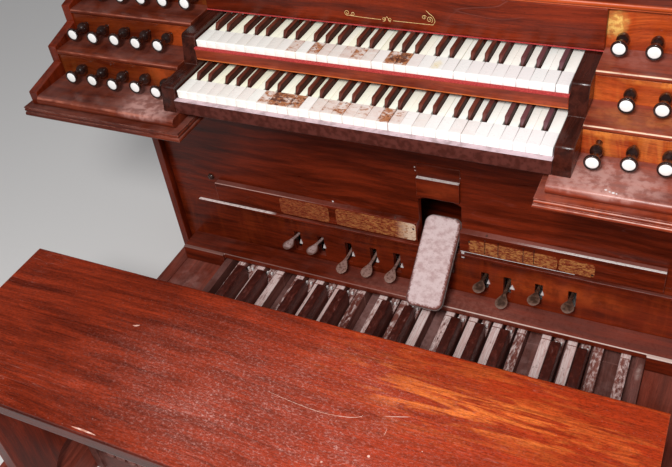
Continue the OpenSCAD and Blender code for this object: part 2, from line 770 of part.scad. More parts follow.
// Two end boards with an arched foot, and a stretcher between them
module bench_frame() {
    low = bench_front + end_set;
    high = bench_back - end_set;
    mid = (low + high) / 2;
    head = bench_h - bench_t;
    foot = block_h + end_foot;
    neck = head - end_head;
    color("#5c2012") {
        on_both_sides() across(end_in, end_in + bench_end_t) difference() {
            polygon([[low, block_h], [high, block_h], [high, foot], [high - end_waist, foot + end_slope],
                [high - end_waist, neck - end_slope], [high, neck], [high, head], [low, head], [low, neck],
                [low + end_waist, neck - end_slope], [low + end_waist, foot + end_slope], [low, foot]]);
            translate([mid, block_h]) circle(end_arch_r, $fn = arc_fn);
        }
        box([-end_in, mid - 12, stretcher_z], [end_in, mid + 12, stretcher_z + stretcher_h]);
    }
}

// One stop: head with its ivory face, neck, bulb and rod, along the row's own axis
module stop(side, row, i) {
    rim = stop_head_d / 2;
    face = stop_face_d / 2;
    bulb = stop_bulb_d / 2;
    rod = stop_rod_d / 2;
    foot = stop_reach - stop_seat;
    waist = stop_head_l + stop_waist_l / 2;
    bulb_start = foot - stop_bulb_l;
    x = (side == 0 ? -1 : 1) * stop_x(row, i);
    y = row_y(row) - stop_reach - (side == 0 ? left_draws : right_draws)[row][i];
    translate([x, y, row_z(row) + stop_lift]) rotate([-90, 0, 0]) {
        color("#26150f") rotate_extrude($fn = arc_fn)
            polygon([[0, 1], [face, 1], [rim - 2, 0], [rim, 2.5], [rim, 6], [rim - 3, stop_head_l - 6],
                [rim - 8, stop_head_l], [rod + 1, waist], [rod + 0.5, stop_head_l + stop_waist_l],
                [bulb - 3, bulb_start], [bulb - 0.6, bulb_start + 4], [bulb, bulb_start + 8],
                [bulb - 0.8, bulb_start + 12], [bulb - 3, foot - 2.5], [bulb - 4, foot], [rod, foot],
                [rod, stop_reach + stop_rod_l], [0, stop_reach + stop_rod_l]]);
        color("#f4efe4") translate([0, 0, 0.2]) cylinder(r = face, h = 1.8, $fn = arc_fn);
    }
}

module stops_past_view() {
    for (row = [0:2]) for (i = [0:stops_in_row - 1]) if (i >= seen_right[row]) stop(1, row, i);
}

case_sides();
case_back();
case_top();
nameboard();
jamb_risers();
jamb_treads();
jamb_ledges();
key_cheeks();
key_beds();
key_slips();
manual_naturals();
manual_sharps();
knee_board();
hatch();
label_rail();
label_plates();
toe_board();
toe_ledge();
lever_rail();
swell_bracket();
side_blocks();
pedal_frame();
pedal_naturals();
pedal_sharps();
bench_seat();
bench_frame();
stops_past_view();
swell_shoe();
swell_tread();
for (side = [0, 1]) for (row = [0:2]) for (i = [0:stops_in_row - 1])
    if (side == 0 || i < seen_right[row])
        stop(side, row, i);
for (i = [0:len(lever_x) - 1])
    combination_pedal(lever_x[i], lever_drops[i]);
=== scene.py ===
"""An organ console with its keyboards, stops, pedals and bench, run as a script.

Each operator makes one group of pieces or finishes one group of boards. Lengths are in metres, in
the frame's own axes: X to the player's right, Y away from the player, Z up from the floor.
"""

import math

import bpy
import numpy as np
from mathutils import Matrix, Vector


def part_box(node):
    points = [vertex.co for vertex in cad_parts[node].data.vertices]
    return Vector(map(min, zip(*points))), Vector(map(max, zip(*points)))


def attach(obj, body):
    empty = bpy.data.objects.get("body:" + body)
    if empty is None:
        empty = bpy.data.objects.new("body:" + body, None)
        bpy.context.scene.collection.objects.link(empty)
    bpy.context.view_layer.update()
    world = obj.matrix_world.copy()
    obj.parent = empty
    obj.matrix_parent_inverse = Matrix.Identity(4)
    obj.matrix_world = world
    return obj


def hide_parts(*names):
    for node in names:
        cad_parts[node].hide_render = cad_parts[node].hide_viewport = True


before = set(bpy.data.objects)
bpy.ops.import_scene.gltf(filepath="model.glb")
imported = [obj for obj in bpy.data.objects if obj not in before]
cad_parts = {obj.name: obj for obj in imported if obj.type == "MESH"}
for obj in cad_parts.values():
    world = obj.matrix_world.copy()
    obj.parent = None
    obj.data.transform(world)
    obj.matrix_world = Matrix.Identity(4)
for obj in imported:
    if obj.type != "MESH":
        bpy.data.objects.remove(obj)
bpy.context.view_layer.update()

bl_info = {
    "name": "Organ Console",
    "version": (1, 0, 0),
    "blender": (4, 5, 0),
    "location": "View3D > Sidebar > Organ",
    "description": "Keys, stops, pedals and finishes of an organ console",
    "category": "Object",
}

ROOT = "console"
SEED = 7

STOPS = sorted(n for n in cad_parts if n.startswith("stop"))
LEVERS = sorted(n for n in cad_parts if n.startswith("combination_pedal_"))

# Keys whose ivory heads are worn, counted from the left, with how far each is worn
WORN_LOWER = {
    2: 0.1, 3: 0.12, 4: 0.15, 6: 0.14, 8: 0.7, 9: 1.0, 10: 0.88, 11: 0.85, 13: 0.52, 14: 0.56, 15: 0.74,
    16: 0.52, 17: 0.6, 18: 0.46, 19: 0.86, 20: 0.5, 22: 0.32, 25: 0.2, 26: 0.2,
}
WORN_UPPER = {
    4: 0.14, 7: 0.16, 9: 0.56, 11: 0.76, 12: 0.4, 13: 0.3, 14: 0.52, 15: 0.74, 16: 0.45, 18: 0.88,
    19: 0.95, 20: 0.2,
}
# Seams between two naturals that stand open, by the key to their right, as shares of the widest
SEAMS_LOWER = {4: 0.6, 6: 1.0, 11: 0.6, 13: 0.7, 14: 0.6, 16: 0.5, 20: 1.0, 22: 0.4, 24: 0.4, 26: 0.6}
SEAMS_UPPER = {5: 1.0, 10: 0.7, 12: 0.8, 13: 0.6, 17: 1.0, 19: 0.4, 24: 0.9, 29: 0.5, 32: 0.9}
# How far each natural pedal is worn pale, from the left
PEDAL_WEAR = [
    0.3, 0.9, 0.8, 0.35, 0.85, 0.95, 0.25, 0.6, 0.3, 0.9, 0.6, 0.95, 0.9, 0.35, 0.85, 0.85, 0.3, 0.4,
]
# How far each combination pedal is pressed in the pose of the frame, and its arm's slope, in degrees
PEDAL_DROPS = [0, 0, 16, 13, 13, 0, 13, 0, 0]
PEDAL_SLOPE = 4.3
# Y and Z of the combination pedals' rod
PEDAL_PIVOT = (0.42, 0.19)
# Pivot of the swell shoe, and its slope at rest in degrees
SHOE_PIVOT = (0.058, 0.277, 0.241)
SHOE_SLOPE = 38.5
# Y of the faces of the knee board and the toe board, and Z of the low treads' tops
KNEE_FACE = 0.318
TREAD_TOP = 0.814
# Steps of a seven-note scale after which a sharp stands
SHARP_STEPS = [0, 1, 3, 4, 5]
# Naturals of one keyboard, and how far the upper one lies above and behind the lower one
KEYS = 33
MANUAL_RISE = 0.0625
MANUAL_SETBACK = 0.102
# Half the width of a sharp, the gap round it, and how far back its raised top ends
SHARP_HALF = 0.00525
SHARP_CLEAR = 0.0009
SHARP_REACH = 0.1095
# Natural pedals, the width of a pedal key, and Y of the groove across each natural
PEDALS = 18
PEDAL_WIDTH = 0.024
PEDAL_GROOVE = 0.2394


# Meshes


def piece(name, shape, slot, material, body=ROOT, crease=50, **values):
    """A mesh object in the frame of the part, with its finish, that rides on a body.

    Its shape is (points, faces). Edges are sharp from an angle of crease in degrees, and values are
    numbers by point that its material reads by name."""
    points, faces = shape
    mesh = bpy.data.meshes.new(name)
    mesh.from_pydata(np.asarray(points, float).reshape(-1, 3), [], faces)
    mesh.polygons.foreach_set("use_smooth", np.full(len(mesh.polygons), True))
    mesh.update()
    for label, value in values.items():
        attribute = mesh.attributes.new(label, "FLOAT", "POINT")
        attribute.data.foreach_set("value", np.asarray(value, np.float32).ravel())
    mesh.set_sharp_from_angle(angle=math.radians(crease))
    made = bpy.data.objects.new(name, mesh)
    bpy.context.scene.collection.objects.link(made)
    mesh.materials.append(material)
    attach(made, body)
    return made


def grid_faces(rows, columns, close=True):
    """Quads between neighbouring points of a grid of rows by columns, closed round the columns."""
    r, c = np.meshgrid(np.arange(rows - 1), np.arange(columns if close else columns - 1), indexing="ij")
    n = (c + 1) % columns
    quads = np.stack([r * columns + c, r * columns + n, (r + 1) * columns + n,
                      (r + 1) * columns + c], -1)
    return quads.reshape(-1, 4)


def tubes(rings):
    """Closed bars from rings of shape (bars, stations, ring, 3): quads along a bar, a face at each end.

    Rings turn anticlockwise seen from beyond the last station, so that faces point outwards."""
    rings = np.asarray(rings, float)
    bars, stations, ring, _ = rings.shape
    quads = grid_faces(stations, ring)
    starts = np.arange(bars) * stations * ring
    sides = (quads[None] + starts[:, None, None]).reshape(-1, 4)
    first = (starts[:, None] + np.arange(ring)[::-1]).tolist()
    last = (starts[:, None] + (stations - 1) * ring + np.arange(ring)).tolist()
    return rings.reshape(-1, 3), sides.tolist() + first + last


def corner_ring(left, right, low, high, radius, steps=3):
    """Rounded rectangles as rings of (x, z): quarter circles of a radius, joined by straight sides."""
    turn = np.linspace(0, math.pi / 2, steps + 1)
    left, right, low, high, radius = np.broadcast_arrays(left, right, low, high, radius)
    parts = []
    for k, (cx, cz) in enumerate(((right, high), (left, high), (left, low), (right, low))):
        angle = turn + k * math.pi / 2
        sx = -1 if k in (1, 2) else 1
        sz = -1 if k in (2, 3) else 1
        x = (cx - sx * radius)[..., None] + radius[..., None] * np.cos(angle)
        z = (cz - sz * radius)[..., None] + radius[..., None] * np.sin(angle)
        parts.append(np.stack([x, z], -1))
    return np.concatenate(parts, -2)


def bars_along_y(y, left, right, low, high, radius, steps=3):
    """Bars that run along Y: a rounded rectangle at each station y, with its own sides."""
    ring = corner_ring(left, right, low, high, radius, steps)[..., ::-1, :]
    where = np.broadcast_to(np.asarray(y, float)[..., None], ring.shape[:-1])
    return np.stack([ring[..., 0], where, ring[..., 1]], -1)


def lathe(profile, turns, centre):
    """A profile of (radius, y) turned about a line along Y through centre, as rings of points."""
    profile = np.asarray(profile, float)
    angle = -np.arange(turns) / turns * 2 * math.pi
    x = centre[0] + profile[:, None, 0] * np.cos(angle)
    z = centre[2] + profile[:, None, 0] * np.sin(angle)
    y = centre[1] + np.broadcast_to(profile[:, None, 1], x.shape)
    return np.stack([x, y, z], -1)


def through(points, per_span):
    """A smooth curve through points: each span is a cubic that meets its neighbours' slopes."""
    p = np.asarray(points, float)
    p = np.concatenate([2 * p[:1] - p[1:2], p, 2 * p[-1:] - p[-2:-1]])
    t = np.linspace(0, 1, per_span, endpoint=False)[None, :, None]
    a, b, c, d = (p[i:len(p) - 3 + i, None] for i in range(4))
    square, cube = 2 * a - 5 * b + 4 * c - d, 3 * b - a - 3 * c + d
    curve = 0.5 * (2 * b + (c - a) * t + square * t**2 + cube * t**3)
    return np.concatenate([curve.reshape(-1, p.shape[1]), p[-2:-1]])


def sweep(path, section, up):
    """Rings of a section (across, above) carried along a path, square to it, its upper side to up."""
    path = np.asarray(path, float)
    along = np.gradient(path, axis=0)
    along /= np.linalg.norm(along, axis=1, keepdims=True)
    side = np.cross(along, up)
    side /= np.linalg.norm(side, axis=1, keepdims=True)
    above = np.cross(side, along)
    section = np.broadcast_to(section, (len(path),) + np.shape(section)[-2:])[:, ::-1]
    return path[:, None] + side[:, None] * section[..., :1] + above[:, None] * section[..., 1:]


def ellipse(half_across, half_above, count=16, dish=0.0):
    """An ellipse as points (across, above), whose rims rise by dish over its middle."""
    angle = np.arange(count) / count * 2 * math.pi
    rise = dish * np.cos(angle) ** 2
    return np.stack([half_across * np.cos(angle), half_above * np.sin(angle) + rise], -1)


def blocks(low, high, chamfer=0.0004):
    """Boxes from lists of low and high corners, with their long edges along X rounded off."""
    low, high = np.atleast_2d(low), np.atleast_2d(high)
    ring = corner_ring(low[:, None, 1], high[:, None, 1], low[:, None, 2], high[:, None, 2], chamfer)
    x = np.stack([low[:, 0], high[:, 0]], 1)[..., None] + 0.0 * ring[..., 0]
    ring = np.broadcast_to(ring, x.shape + (2,))
    return tubes(np.stack([x, ring[..., 0], ring[..., 1]], -1))


def joined(*shapes):
    """Several shapes of (points, faces) as one."""
    points, faces, start = [], [], 0
    for shape_points, shape_faces in shapes:
        points.append(shape_points)
        faces += [[start + i for i in face] for face in shape_faces]
        start += len(shape_points)
    return np.concatenate(points), faces


def dome(centre, radius, height, axis, turns=20):
    """A round head: a quarter circle turned about axis 1, towards the player, or 2, upwards."""
    angle = np.linspace(0, math.pi / 2, 6)
    out = np.concatenate([[0.0], radius * np.cos(angle)])
    up = np.concatenate([[-0.001], height * np.sin(angle)])
    out[-1] = 0.0
    turn = np.arange(turns) / turns * 2 * math.pi
    a, b = out[:, None] * np.cos(turn), out[:, None] * np.sin(turn)
    c = np.broadcast_to(up[:, None], a.shape)
    parts = (a, -c, b) if axis == 1 else (a, b, c)
    return tubes((np.stack(parts, -1) + np.asarray(centre))[None])


# Shader graphs


class Graph:
    """A node tree that is being filled. An input that is a socket is linked, and any other is set.

    A colour is three numbers."""

    def __init__(self, tree):
        self.tree = tree

    def add(self, kind, inputs=None, **settings):
        node = self.tree.nodes.new(kind)
        for key, value in settings.items():
            setattr(node, key, value)
        for key, value in (inputs or {}).items():
            socket = node.inputs[key]
            if isinstance(value, bpy.types.NodeSocket):
                self.tree.links.new(value, socket)
            elif socket.type == "RGBA":
                socket.default_value = (*value, 1.0)
            else:
                socket.default_value = value
        return node

    def math(self, operation, a, b=0.0, clamp=False):
        """One sum with two values, held between 0 and 1 where clamp is set."""
        node = self.add("ShaderNodeMath", {0: a, 1: b}, operation=operation, use_clamp=clamp)
        return node.outputs[0]

    def by(self, a, b, clamp=False):
        return self.math("MULTIPLY", a, b, clamp)

    def plus(self, a, b, clamp=False):
        return self.math("ADD", a, b, clamp)

    def less(self, a, b):
        return self.math("SUBTRACT", a, b)

    def times(self, *values):
        """The product of several values, held between 0 and 1."""
        made = values[0]
        for value in values[1:]:
            made = self.by(made, value, clamp=True)
        return made

    def span(self, value, low, high, start=0.0, end=1.0, smooth=True):
        """From start to end while a value goes from low to high, and held beyond them."""
        kind = "SMOOTHSTEP" if smooth else "LINEAR"
        inputs = {0: value, 1: low, 2: high, 3: start, 4: end}
        return self.add("ShaderNodeMapRange", inputs, interpolation_type=kind).outputs[0]

    def mix(self, factor, a, b, blend="MIX"):
        return self.add("ShaderNodeMix", {0: factor, 6: a, 7: b}, data_type="RGBA",
                        blend_type=blend).outputs[2]

    def shade(self, colour, value):
        """A colour times a plain value."""
        grey = self.add("ShaderNodeCombineXYZ", {0: value, 1: value, 2: value}).outputs[0]
        return self.mix(1.0, colour, grey, "MULTIPLY")

    def noise(self, vector, scale, detail=3.0, roughness=0.55, distortion=0.0):
        inputs = {"Vector": vector, "Scale": scale, "Detail": detail, "Roughness": roughness,
                  "Distortion": distortion}
        return self.add("ShaderNodeTexNoise", inputs).outputs["Fac"]

    def vector(self, operation, a, b):
        return self.add("ShaderNodeVectorMath", {0: a, 1: b}, operation=operation).outputs[0]

    def scaled(self, vector, factors):
        return self.vector("MULTIPLY", vector, factors)

    def moved(self, vector, offset):
        return self.vector("ADD", vector, offset)

    def away(self, vector, centre, factors):
        """The distance from a centre, with a factor for each direction."""
        off = self.scaled(self.vector("SUBTRACT", vector, centre), factors)
        return self.add("ShaderNodeVectorMath", {0: off}, operation="LENGTH").outputs["Value"]

    def parts(self, vector):
        return self.add("ShaderNodeSeparateXYZ", {0: vector}).outputs

    def place(self):
        return self.add("ShaderNodeTexCoord").outputs["Object"]

    def normal(self):
        return self.parts(self.add("ShaderNodeNewGeometry").outputs["Normal"])

    def given(self, name):
        """A number by point that the piece carries."""
        return self.add("ShaderNodeAttribute", attribute_name=name).outputs["Fac"]


def group(name, inputs, outputs, fill):
    """A shader node group, built once: fill works on its graph and its input sockets."""
    if name in bpy.data.node_groups:
        return bpy.data.node_groups[name]
    tree = bpy.data.node_groups.new(name, "ShaderNodeTree")
    for label, kind, default in inputs:
        socket = tree.interface.new_socket(label, in_out="INPUT", socket_type=kind)
        if default is not None:
            socket.default_value = default
    for label, kind in outputs:
        tree.interface.new_socket(label, in_out="OUTPUT", socket_type=kind)
    graph = Graph(tree)
    start = graph.add("NodeGroupInput")
    end = graph.add("NodeGroupOutput")
    for label, socket in fill(graph, start.outputs).items():
        tree.links.new(socket, end.inputs[label])
    return tree


FLOAT = "NodeSocketFloat"
VECTOR = "NodeSocketVector"


def grain_group():
    """Wood grain along X of its vector: wide streaks, fine lines, short pores, a curl across it."""

    def fill(g, given):
        bend = g.add("ShaderNodeTexNoise", {"Vector": given["Vector"], "Scale": 2.2, "Detail": 2.0})
        bend = g.vector("SUBTRACT", bend.outputs["Color"], (0.5, 0.5, 0.5))
        bend = g.add("ShaderNodeVectorMath", {0: bend, "Scale": given["Warp"]},
                     operation="SCALE").outputs[0]
        where = g.moved(given["Vector"], bend)
        streaks = g.noise(g.scaled(where, (1.0, 13.0, 13.0)), 4.0, 6.0, 0.62)
        fine = g.noise(g.scaled(where, (3.0, 120.0, 120.0)), 3.2, 3.0, 0.7)
        pores = g.noise(g.scaled(where, (95.0, 1300.0, 1300.0)), 1.0, 1.0, 0.5)
        curl_at = g.noise(g.scaled(where, (26.0, 5.0, 5.0)), 1.0, 3.0, 0.6, 1.2)
        patches = g.noise(given["Vector"], 3.1, 2.0, 0.5)
        curl = g.by(g.span(curl_at, 0.42, 0.66), g.span(patches, 0.4, 0.62))
        return {"Streaks": streaks, "Fine": fine, "Pores": g.span(pores, 0.58, 0.74), "Curl": curl}

    return group(
        "wood grain", [("Vector", VECTOR, None), ("Warp", FLOAT, 0.05)],
        [("Streaks", FLOAT), ("Fine", FLOAT), ("Pores", FLOAT), ("Curl", FLOAT)], fill)


def dust_group():
    """Dust that lies where a surface faces up, in soft patches with specks."""

    def fill(g, given):
        up = g.normal()["Z"]
        flat = g.span(up, 0.5, 0.95)
        patches = g.span(g.noise(given["Vector"], 9.0, 5.0, 0.62, 0.4), 0.36, 0.7)
        specks = g.span(g.noise(given["Vector"], 420.0, 2.0, 0.6), 0.58, 0.72)
        film = g.plus(g.by(patches, 0.8), g.by(specks, 0.35))
        return {"Mask": g.times(film, flat, given["Amount"])}

    return group("dust", [("Vector", VECTOR, None), ("Amount", FLOAT, 0.2)], [("Mask", FLOAT)], fill)


def edge_group():
    """Rubbed edges: where a rounded normal leaves the true one, broken up by noise."""

    def fill(g, given):
        soft = g.add("ShaderNodeBevel", {"Radius": given["Width"]}, samples=4).outputs[0]
        true = g.add("ShaderNodeNewGeometry").outputs["Normal"]
        same = g.add("ShaderNodeVectorMath", {0: soft, 1: true},
                     operation="DOT_PRODUCT").outputs["Value"]
        edge = g.span(same, 0.985, 0.86)
        broken = g.span(g.noise(given["Vector"], 46.0, 4.0, 0.65), 0.36, 0.62)
        return {"Mask": g.times(edge, broken, given["Amount"]), "Normal": soft}

    return group(
        "rubbed edge", [("Vector", VECTOR, None), ("Width", FLOAT, 0.002), ("Amount", FLOAT, 0.5)],
        [("Mask", FLOAT), ("Normal", VECTOR)], fill)


def scratch_group():
    """Fine scratches: thin level lines of three stretched and turned noises, in patches."""

    def fill(g, given):
        lines = []
        for turn, seed in ((0.5, 0.0), (-0.9, 4.0), (2.0, 9.0)):
            turned = g.add("ShaderNodeMapping",
                           {"Vector": given["Vector"], "Location": (seed, seed, 0.0),
                            "Rotation": (0.0, 0.0, turn), "Scale": (1.5, 34.0, 6.0)})
            level = g.noise(turned.outputs[0], 2.4, 1.0, 0.4)
            off = g.math("ABSOLUTE", g.less(level, 0.5))
            lines.append(g.span(off, 0.004, 0.0008))
        both = g.math("MAXIMUM", g.math("MAXIMUM", lines[0], lines[1]), lines[2])
        patches = g.span(g.noise(given["Vector"], 7.0, 3.0, 0.5), 0.54, 0.7)
        return {"Mask": g.by(both, patches)}

    return group("scratches", [("Vector", VECTOR, None)], [("Mask", FLOAT)], fill)


AXES = {"X": "XYZ", "Y": "YXZ", "Z": "ZXY"}


def use(g, tree, inputs):
    """The outputs of a shader group that is placed in a material with its own values."""
    return g.add("ShaderNodeGroup", inputs, node_tree=tree).outputs


def new_material(name):
    """An empty material and the graph that fills it."""
    material = bpy.data.materials.new(name)
    material.use_nodes = True
    material.node_tree.nodes.clear()
    return material, Graph(material.node_tree)


def finish(g, colour, roughness, bump=None, **constants):
    """The shader and the output of a material. A bump is its height, strength and distance, and the
    normal that it starts from, if any. Fixed values are set on the shader itself."""
    inputs = {"Base Color": colour, "Roughness": roughness}
    if bump:
        named = dict(zip(("Height", "Strength", "Distance", "Normal"), bump))
        inputs["Normal"] = g.add("ShaderNodeBump", named).outputs[0]
    inputs.update({key.replace("_", " "): value for key, value in constants.items()})
    shader = g.add("ShaderNodeBsdfPrincipled", inputs)
    g.add("ShaderNodeOutputMaterial", {"Surface": shader.outputs[0]})


# Materials


def wood(name, dark, light, glow=None, axis="X", warp=0.05, figure=0.0, dust=0.06, wear=0.4,
         gloss=0.32, coat=0.05, dusty=(0.42, 0.22, 0.19), worn=None, offset=(0.0, 0.0, 0.0),
         shade_falloff=0.25, extra=None):
    """Polished wood with grain along an axis: streaks, a curled figure, dust and rubbed edges.

    It is painted darker towards the left by the share given, a painted falloff of light, and extra adds
    a board's own marks."""
    material, g = new_material(name)
    place = g.place()
    xyz = g.parts(place)
    turned = g.add("ShaderNodeCombineXYZ",
                   {i: xyz[letter] for i, letter in enumerate(AXES[axis])}).outputs[0]
    grain = use(g, grain_group(), {"Vector": g.moved(turned, offset), "Warp": warp})
    colour = g.mix(g.span(grain["Streaks"], 0.3, 0.72), dark, light)
    if figure:
        colour = g.mix(g.by(grain["Curl"], figure), colour, glow or light)
    # Painted shade: the tone falls off towards the left, as the light does, by the share given.
    across = g.plus(xyz["X"], g.by(g.noise(place, 2.0, 2.0), 0.4))
    tone = g.span(across, -0.5, 0.7, 1.0 - shade_falloff, 1.0)
    fine = g.span(grain["Fine"], 0.3, 0.75, 0.74, 1.14)
    colour = g.shade(colour, g.by(tone, fine))
    colour = g.mix(g.by(grain["Pores"], 0.5), colour, [c * 0.3 for c in dark])
    edge = use(g, edge_group(), {"Vector": place, "Amount": wear})
    colour = g.mix(edge["Mask"], colour, worn or [min(1.0, c * 1.4 + 0.03) for c in light])
    film = use(g, dust_group(), {"Vector": place, "Amount": dust})["Mask"]
    colour = g.mix(film, colour, dusty)
    scratch = use(g, scratch_group(), {"Vector": place})["Mask"]
    colour = g.mix(g.by(scratch, 0.12), colour, dusty)
    if extra:
        colour = extra(g, place, colour)
    roughness = g.span(grain["Streaks"], 0.2, 0.8, gloss - 0.06, gloss + 0.08)
    roughness = g.plus(roughness, g.by(film, 0.45), clamp=True)
    height = g.less(g.by(grain["Fine"], 0.3), grain["Pores"])
    height = g.less(height, scratch)
    finish(g, colour, roughness, (height, 0.16, 0.0005, edge["Normal"]), Specular_IOR_Level=0.22,
           Coat_Weight=coat, Coat_Roughness=0.14)
    return material


def pale_top_wear_and_highlight(colour, start, end, amount=1.0, foot=-1.0, head=2.0, back=9.0):
    """A pale top that grows from start to end along X, between two heights, up to a depth: rubbed wear
    on some boards, and a painted highlight on others.
    """

    def paint(g, place, below):
        xyz = g.parts(place)
        up = g.span(g.normal()["Z"], 0.35, 0.75)
        along = g.plus(xyz["X"], g.by(g.noise(place, 40.0, 3.0), 0.04))
        high = g.by(g.math("GREATER_THAN", xyz["Z"], foot), g.math("LESS_THAN", xyz["Z"], head))
        high = g.by(high, g.span(xyz["Y"], back, back - 0.0015))
        broken = g.span(g.noise(place, 150.0, 3.0, 0.6), 0.3, 0.5, 0.55, 1.0)
        return g.mix(g.times(up, g.span(along, start, end), high, broken, amount), below, colour)

    return paint


def front(colour, amount):
    """Another tone on what faces the player."""

    def paint(g, place, below):
        ahead = g.span(g.by(g.normal()["Y"], -1.0), 0.4, 0.8)
        streak = g.span(g.noise(g.scaled(place, (1.0, 40.0, 40.0)), 6.0, 4.0), 0.3, 0.6, 0.5, 1.0)
        return g.mix(g.times(ahead, streak, amount), below, colour)

    return paint


def patch(colour, centre, radii, amount, grit=60.0, low=0.42, high=0.6):
    """A worn or dusty patch: a soft ellipsoid about a centre, broken up by noise of a scale."""

    def paint(g, place, below):
        away = g.away(place, centre, [1.0 / r for r in radii])
        rag = g.plus(away, g.by(g.noise(place, grit * 0.4, 3.0), 0.8))
        broken = g.span(g.noise(place, grit, 5.0, 0.65), low, high, 0.35, 1.0)
        return g.mix(g.times(g.span(rag, 1.4, 0.7), broken, amount), below, colour)

    return paint


def several(*marks):
    """Marks one over the other."""

    def paint(g, place, below):
        for one in marks:
            below = one(g, place, below)
        return below

    return paint


def bench_wood(name, s):
    """The seat: painted darker deep red to the left, as the light falls off, and flamed orange to the
    right, with a painted pale sheen and dust in the middle and painted shade along its near edge.
    """
    material, g = new_material(name)
    place = g.place()
    xyz = g.parts(place)
    grain = use(g, grain_group(), {"Vector": g.moved(place, (3.0, 0.0, 1.0)), "Warp": 0.05})
    streak = g.span(grain["Streaks"], 0.3, 0.7)
    # Painted shade: the seat runs from deep red at the left to orange at the right, as the light falls
    # off.
    shade_falloff = g.plus(xyz["X"], g.by(g.noise(g.scaled(place, (1.0, 2.0, 1.0)), 3.0, 3.0), 0.5))
    left = g.mix(streak, s.bench_dark, s.bench_red)
    right = g.mix(streak, s.bench_red, s.bench_orange)
    colour = g.mix(g.span(shade_falloff, -0.1, 0.72), left, right)
    flame_at = g.add("ShaderNodeMapping", {"Vector": place, "Rotation": (0.0, 0.0, 0.10),
                                           "Scale": (3.6, 26.0, 3.0)}).outputs[0]
    flame = g.span(g.noise(flame_at, 1.5, 4.0, 0.6, 1.5), 0.44, 0.62)
    flame = g.times(flame, g.span(shade_falloff, 0.30, 0.62), g.span(xyz["Y"], -0.50, -0.38))
    bright = 0.0
    for centre, reach in (((0.19, -0.345, 0.58), 7.0), ((0.30, -0.37, 0.58), 6.0),
                          ((0.41, -0.37, 0.58), 6.0)):
        away = g.away(place, centre, (reach, reach * 3.2, 1.0))
        bright = g.math("MAXIMUM", g.span(away, 1.2, 0.2), bright)
    flame = g.times(flame, g.span(bright, 0.0, 1.0, 0.3, 1.0))
    colour = g.mix(g.by(flame, 0.95), colour, s.bench_flame)
    tiger = g.span(g.noise(g.scaled(place, (1.0, 4.0, 1.0)), 38.0, 3.0, 0.6, 0.8), 0.42, 0.6)
    tiger = g.times(tiger, g.span(shade_falloff, 0.3, 0.7), 0.35)
    colour = g.mix(tiger, colour, s.bench_orange)
    colour = g.shade(colour, g.span(grain["Fine"], 0.3, 0.75, 0.66, 1.2))
    colour = g.mix(g.by(grain["Pores"], 0.55), colour, [c * 0.35 for c in s.bench_dark])
    # Painted sheen: a pale haze over the middle of the seat, mixed with dust specks, then pale specks
    # and scratches.
    up = g.span(g.normal()["Z"], 0.3, 0.8)
    middle = g.away(place, (0.05, -0.49, 0.58), (1.0, 1.9, 1.0))
    sheen_cloud = g.span(g.noise(g.scaled(place, (1.0, 1.5, 1.0)), 8.0, 5.0, 0.65, 0.9), 0.4, 0.68)
    around = g.span(middle, 0.52, 0.05, 0.05, 1.0)
    sheen_cloud = g.by(around, g.plus(g.by(sheen_cloud, 0.55), 0.45))
    grit = g.span(g.noise(g.scaled(place, (1.0, 1.8, 1.0)), 150.0, 5.0, 0.8, 0.6), 0.5, 0.64)
    sheen_and_dust = g.times(sheen_cloud, g.plus(g.by(grit, 0.9), 0.12), up)
    colour = g.mix(g.by(sheen_and_dust, 0.8), colour, s.bench_sheen_and_dust)
    dark_grit = g.span(g.noise(g.scaled(place, (1.0, 2.5, 1.0)), 170.0, 4.0, 0.75), 0.52, 0.40)
    colour = g.shade(colour, g.span(g.times(dark_grit, up), 0.0, 1.0, 1.0, 0.72))
    specks = g.span(g.noise(place, 300.0, 2.0, 0.6), 0.69, 0.75)
    colour = g.mix(g.times(specks, up, 0.5), colour, s.bench_sheen_and_dust)
    scratch = use(g, scratch_group(), {"Vector": g.moved(place, (0.4, 0.2, 0.0))})["Mask"]
    colour = g.mix(g.by(scratch, 0.25), colour, s.bench_sheen_and_dust)
    edge = use(g, edge_group(), {"Vector": place, "Width": 0.004, "Amount": 0.5})
    colour = g.mix(edge["Mask"], colour, s.bench_edge)
    # Painted shade: the seat is darkened along its near edge.
    near = g.span(xyz["Y"], -0.634, -0.6395)
    colour = g.shade(colour, g.span(near, 0.0, 1.0, 1.0, 0.35))
    roughness = g.plus(g.span(grain["Streaks"], 0.2, 0.8, 0.25, 0.36), g.by(sheen_and_dust, 0.4), clamp=True)
    height = g.less(g.by(grain["Fine"], 0.4), grain["Pores"])
    height = g.less(height, scratch)
    finish(g, colour, roughness, (height, 0.22, 0.0005), Specular_IOR_Level=0.25, Coat_Weight=0.06,
           Coat_Roughness=0.16)
    return material


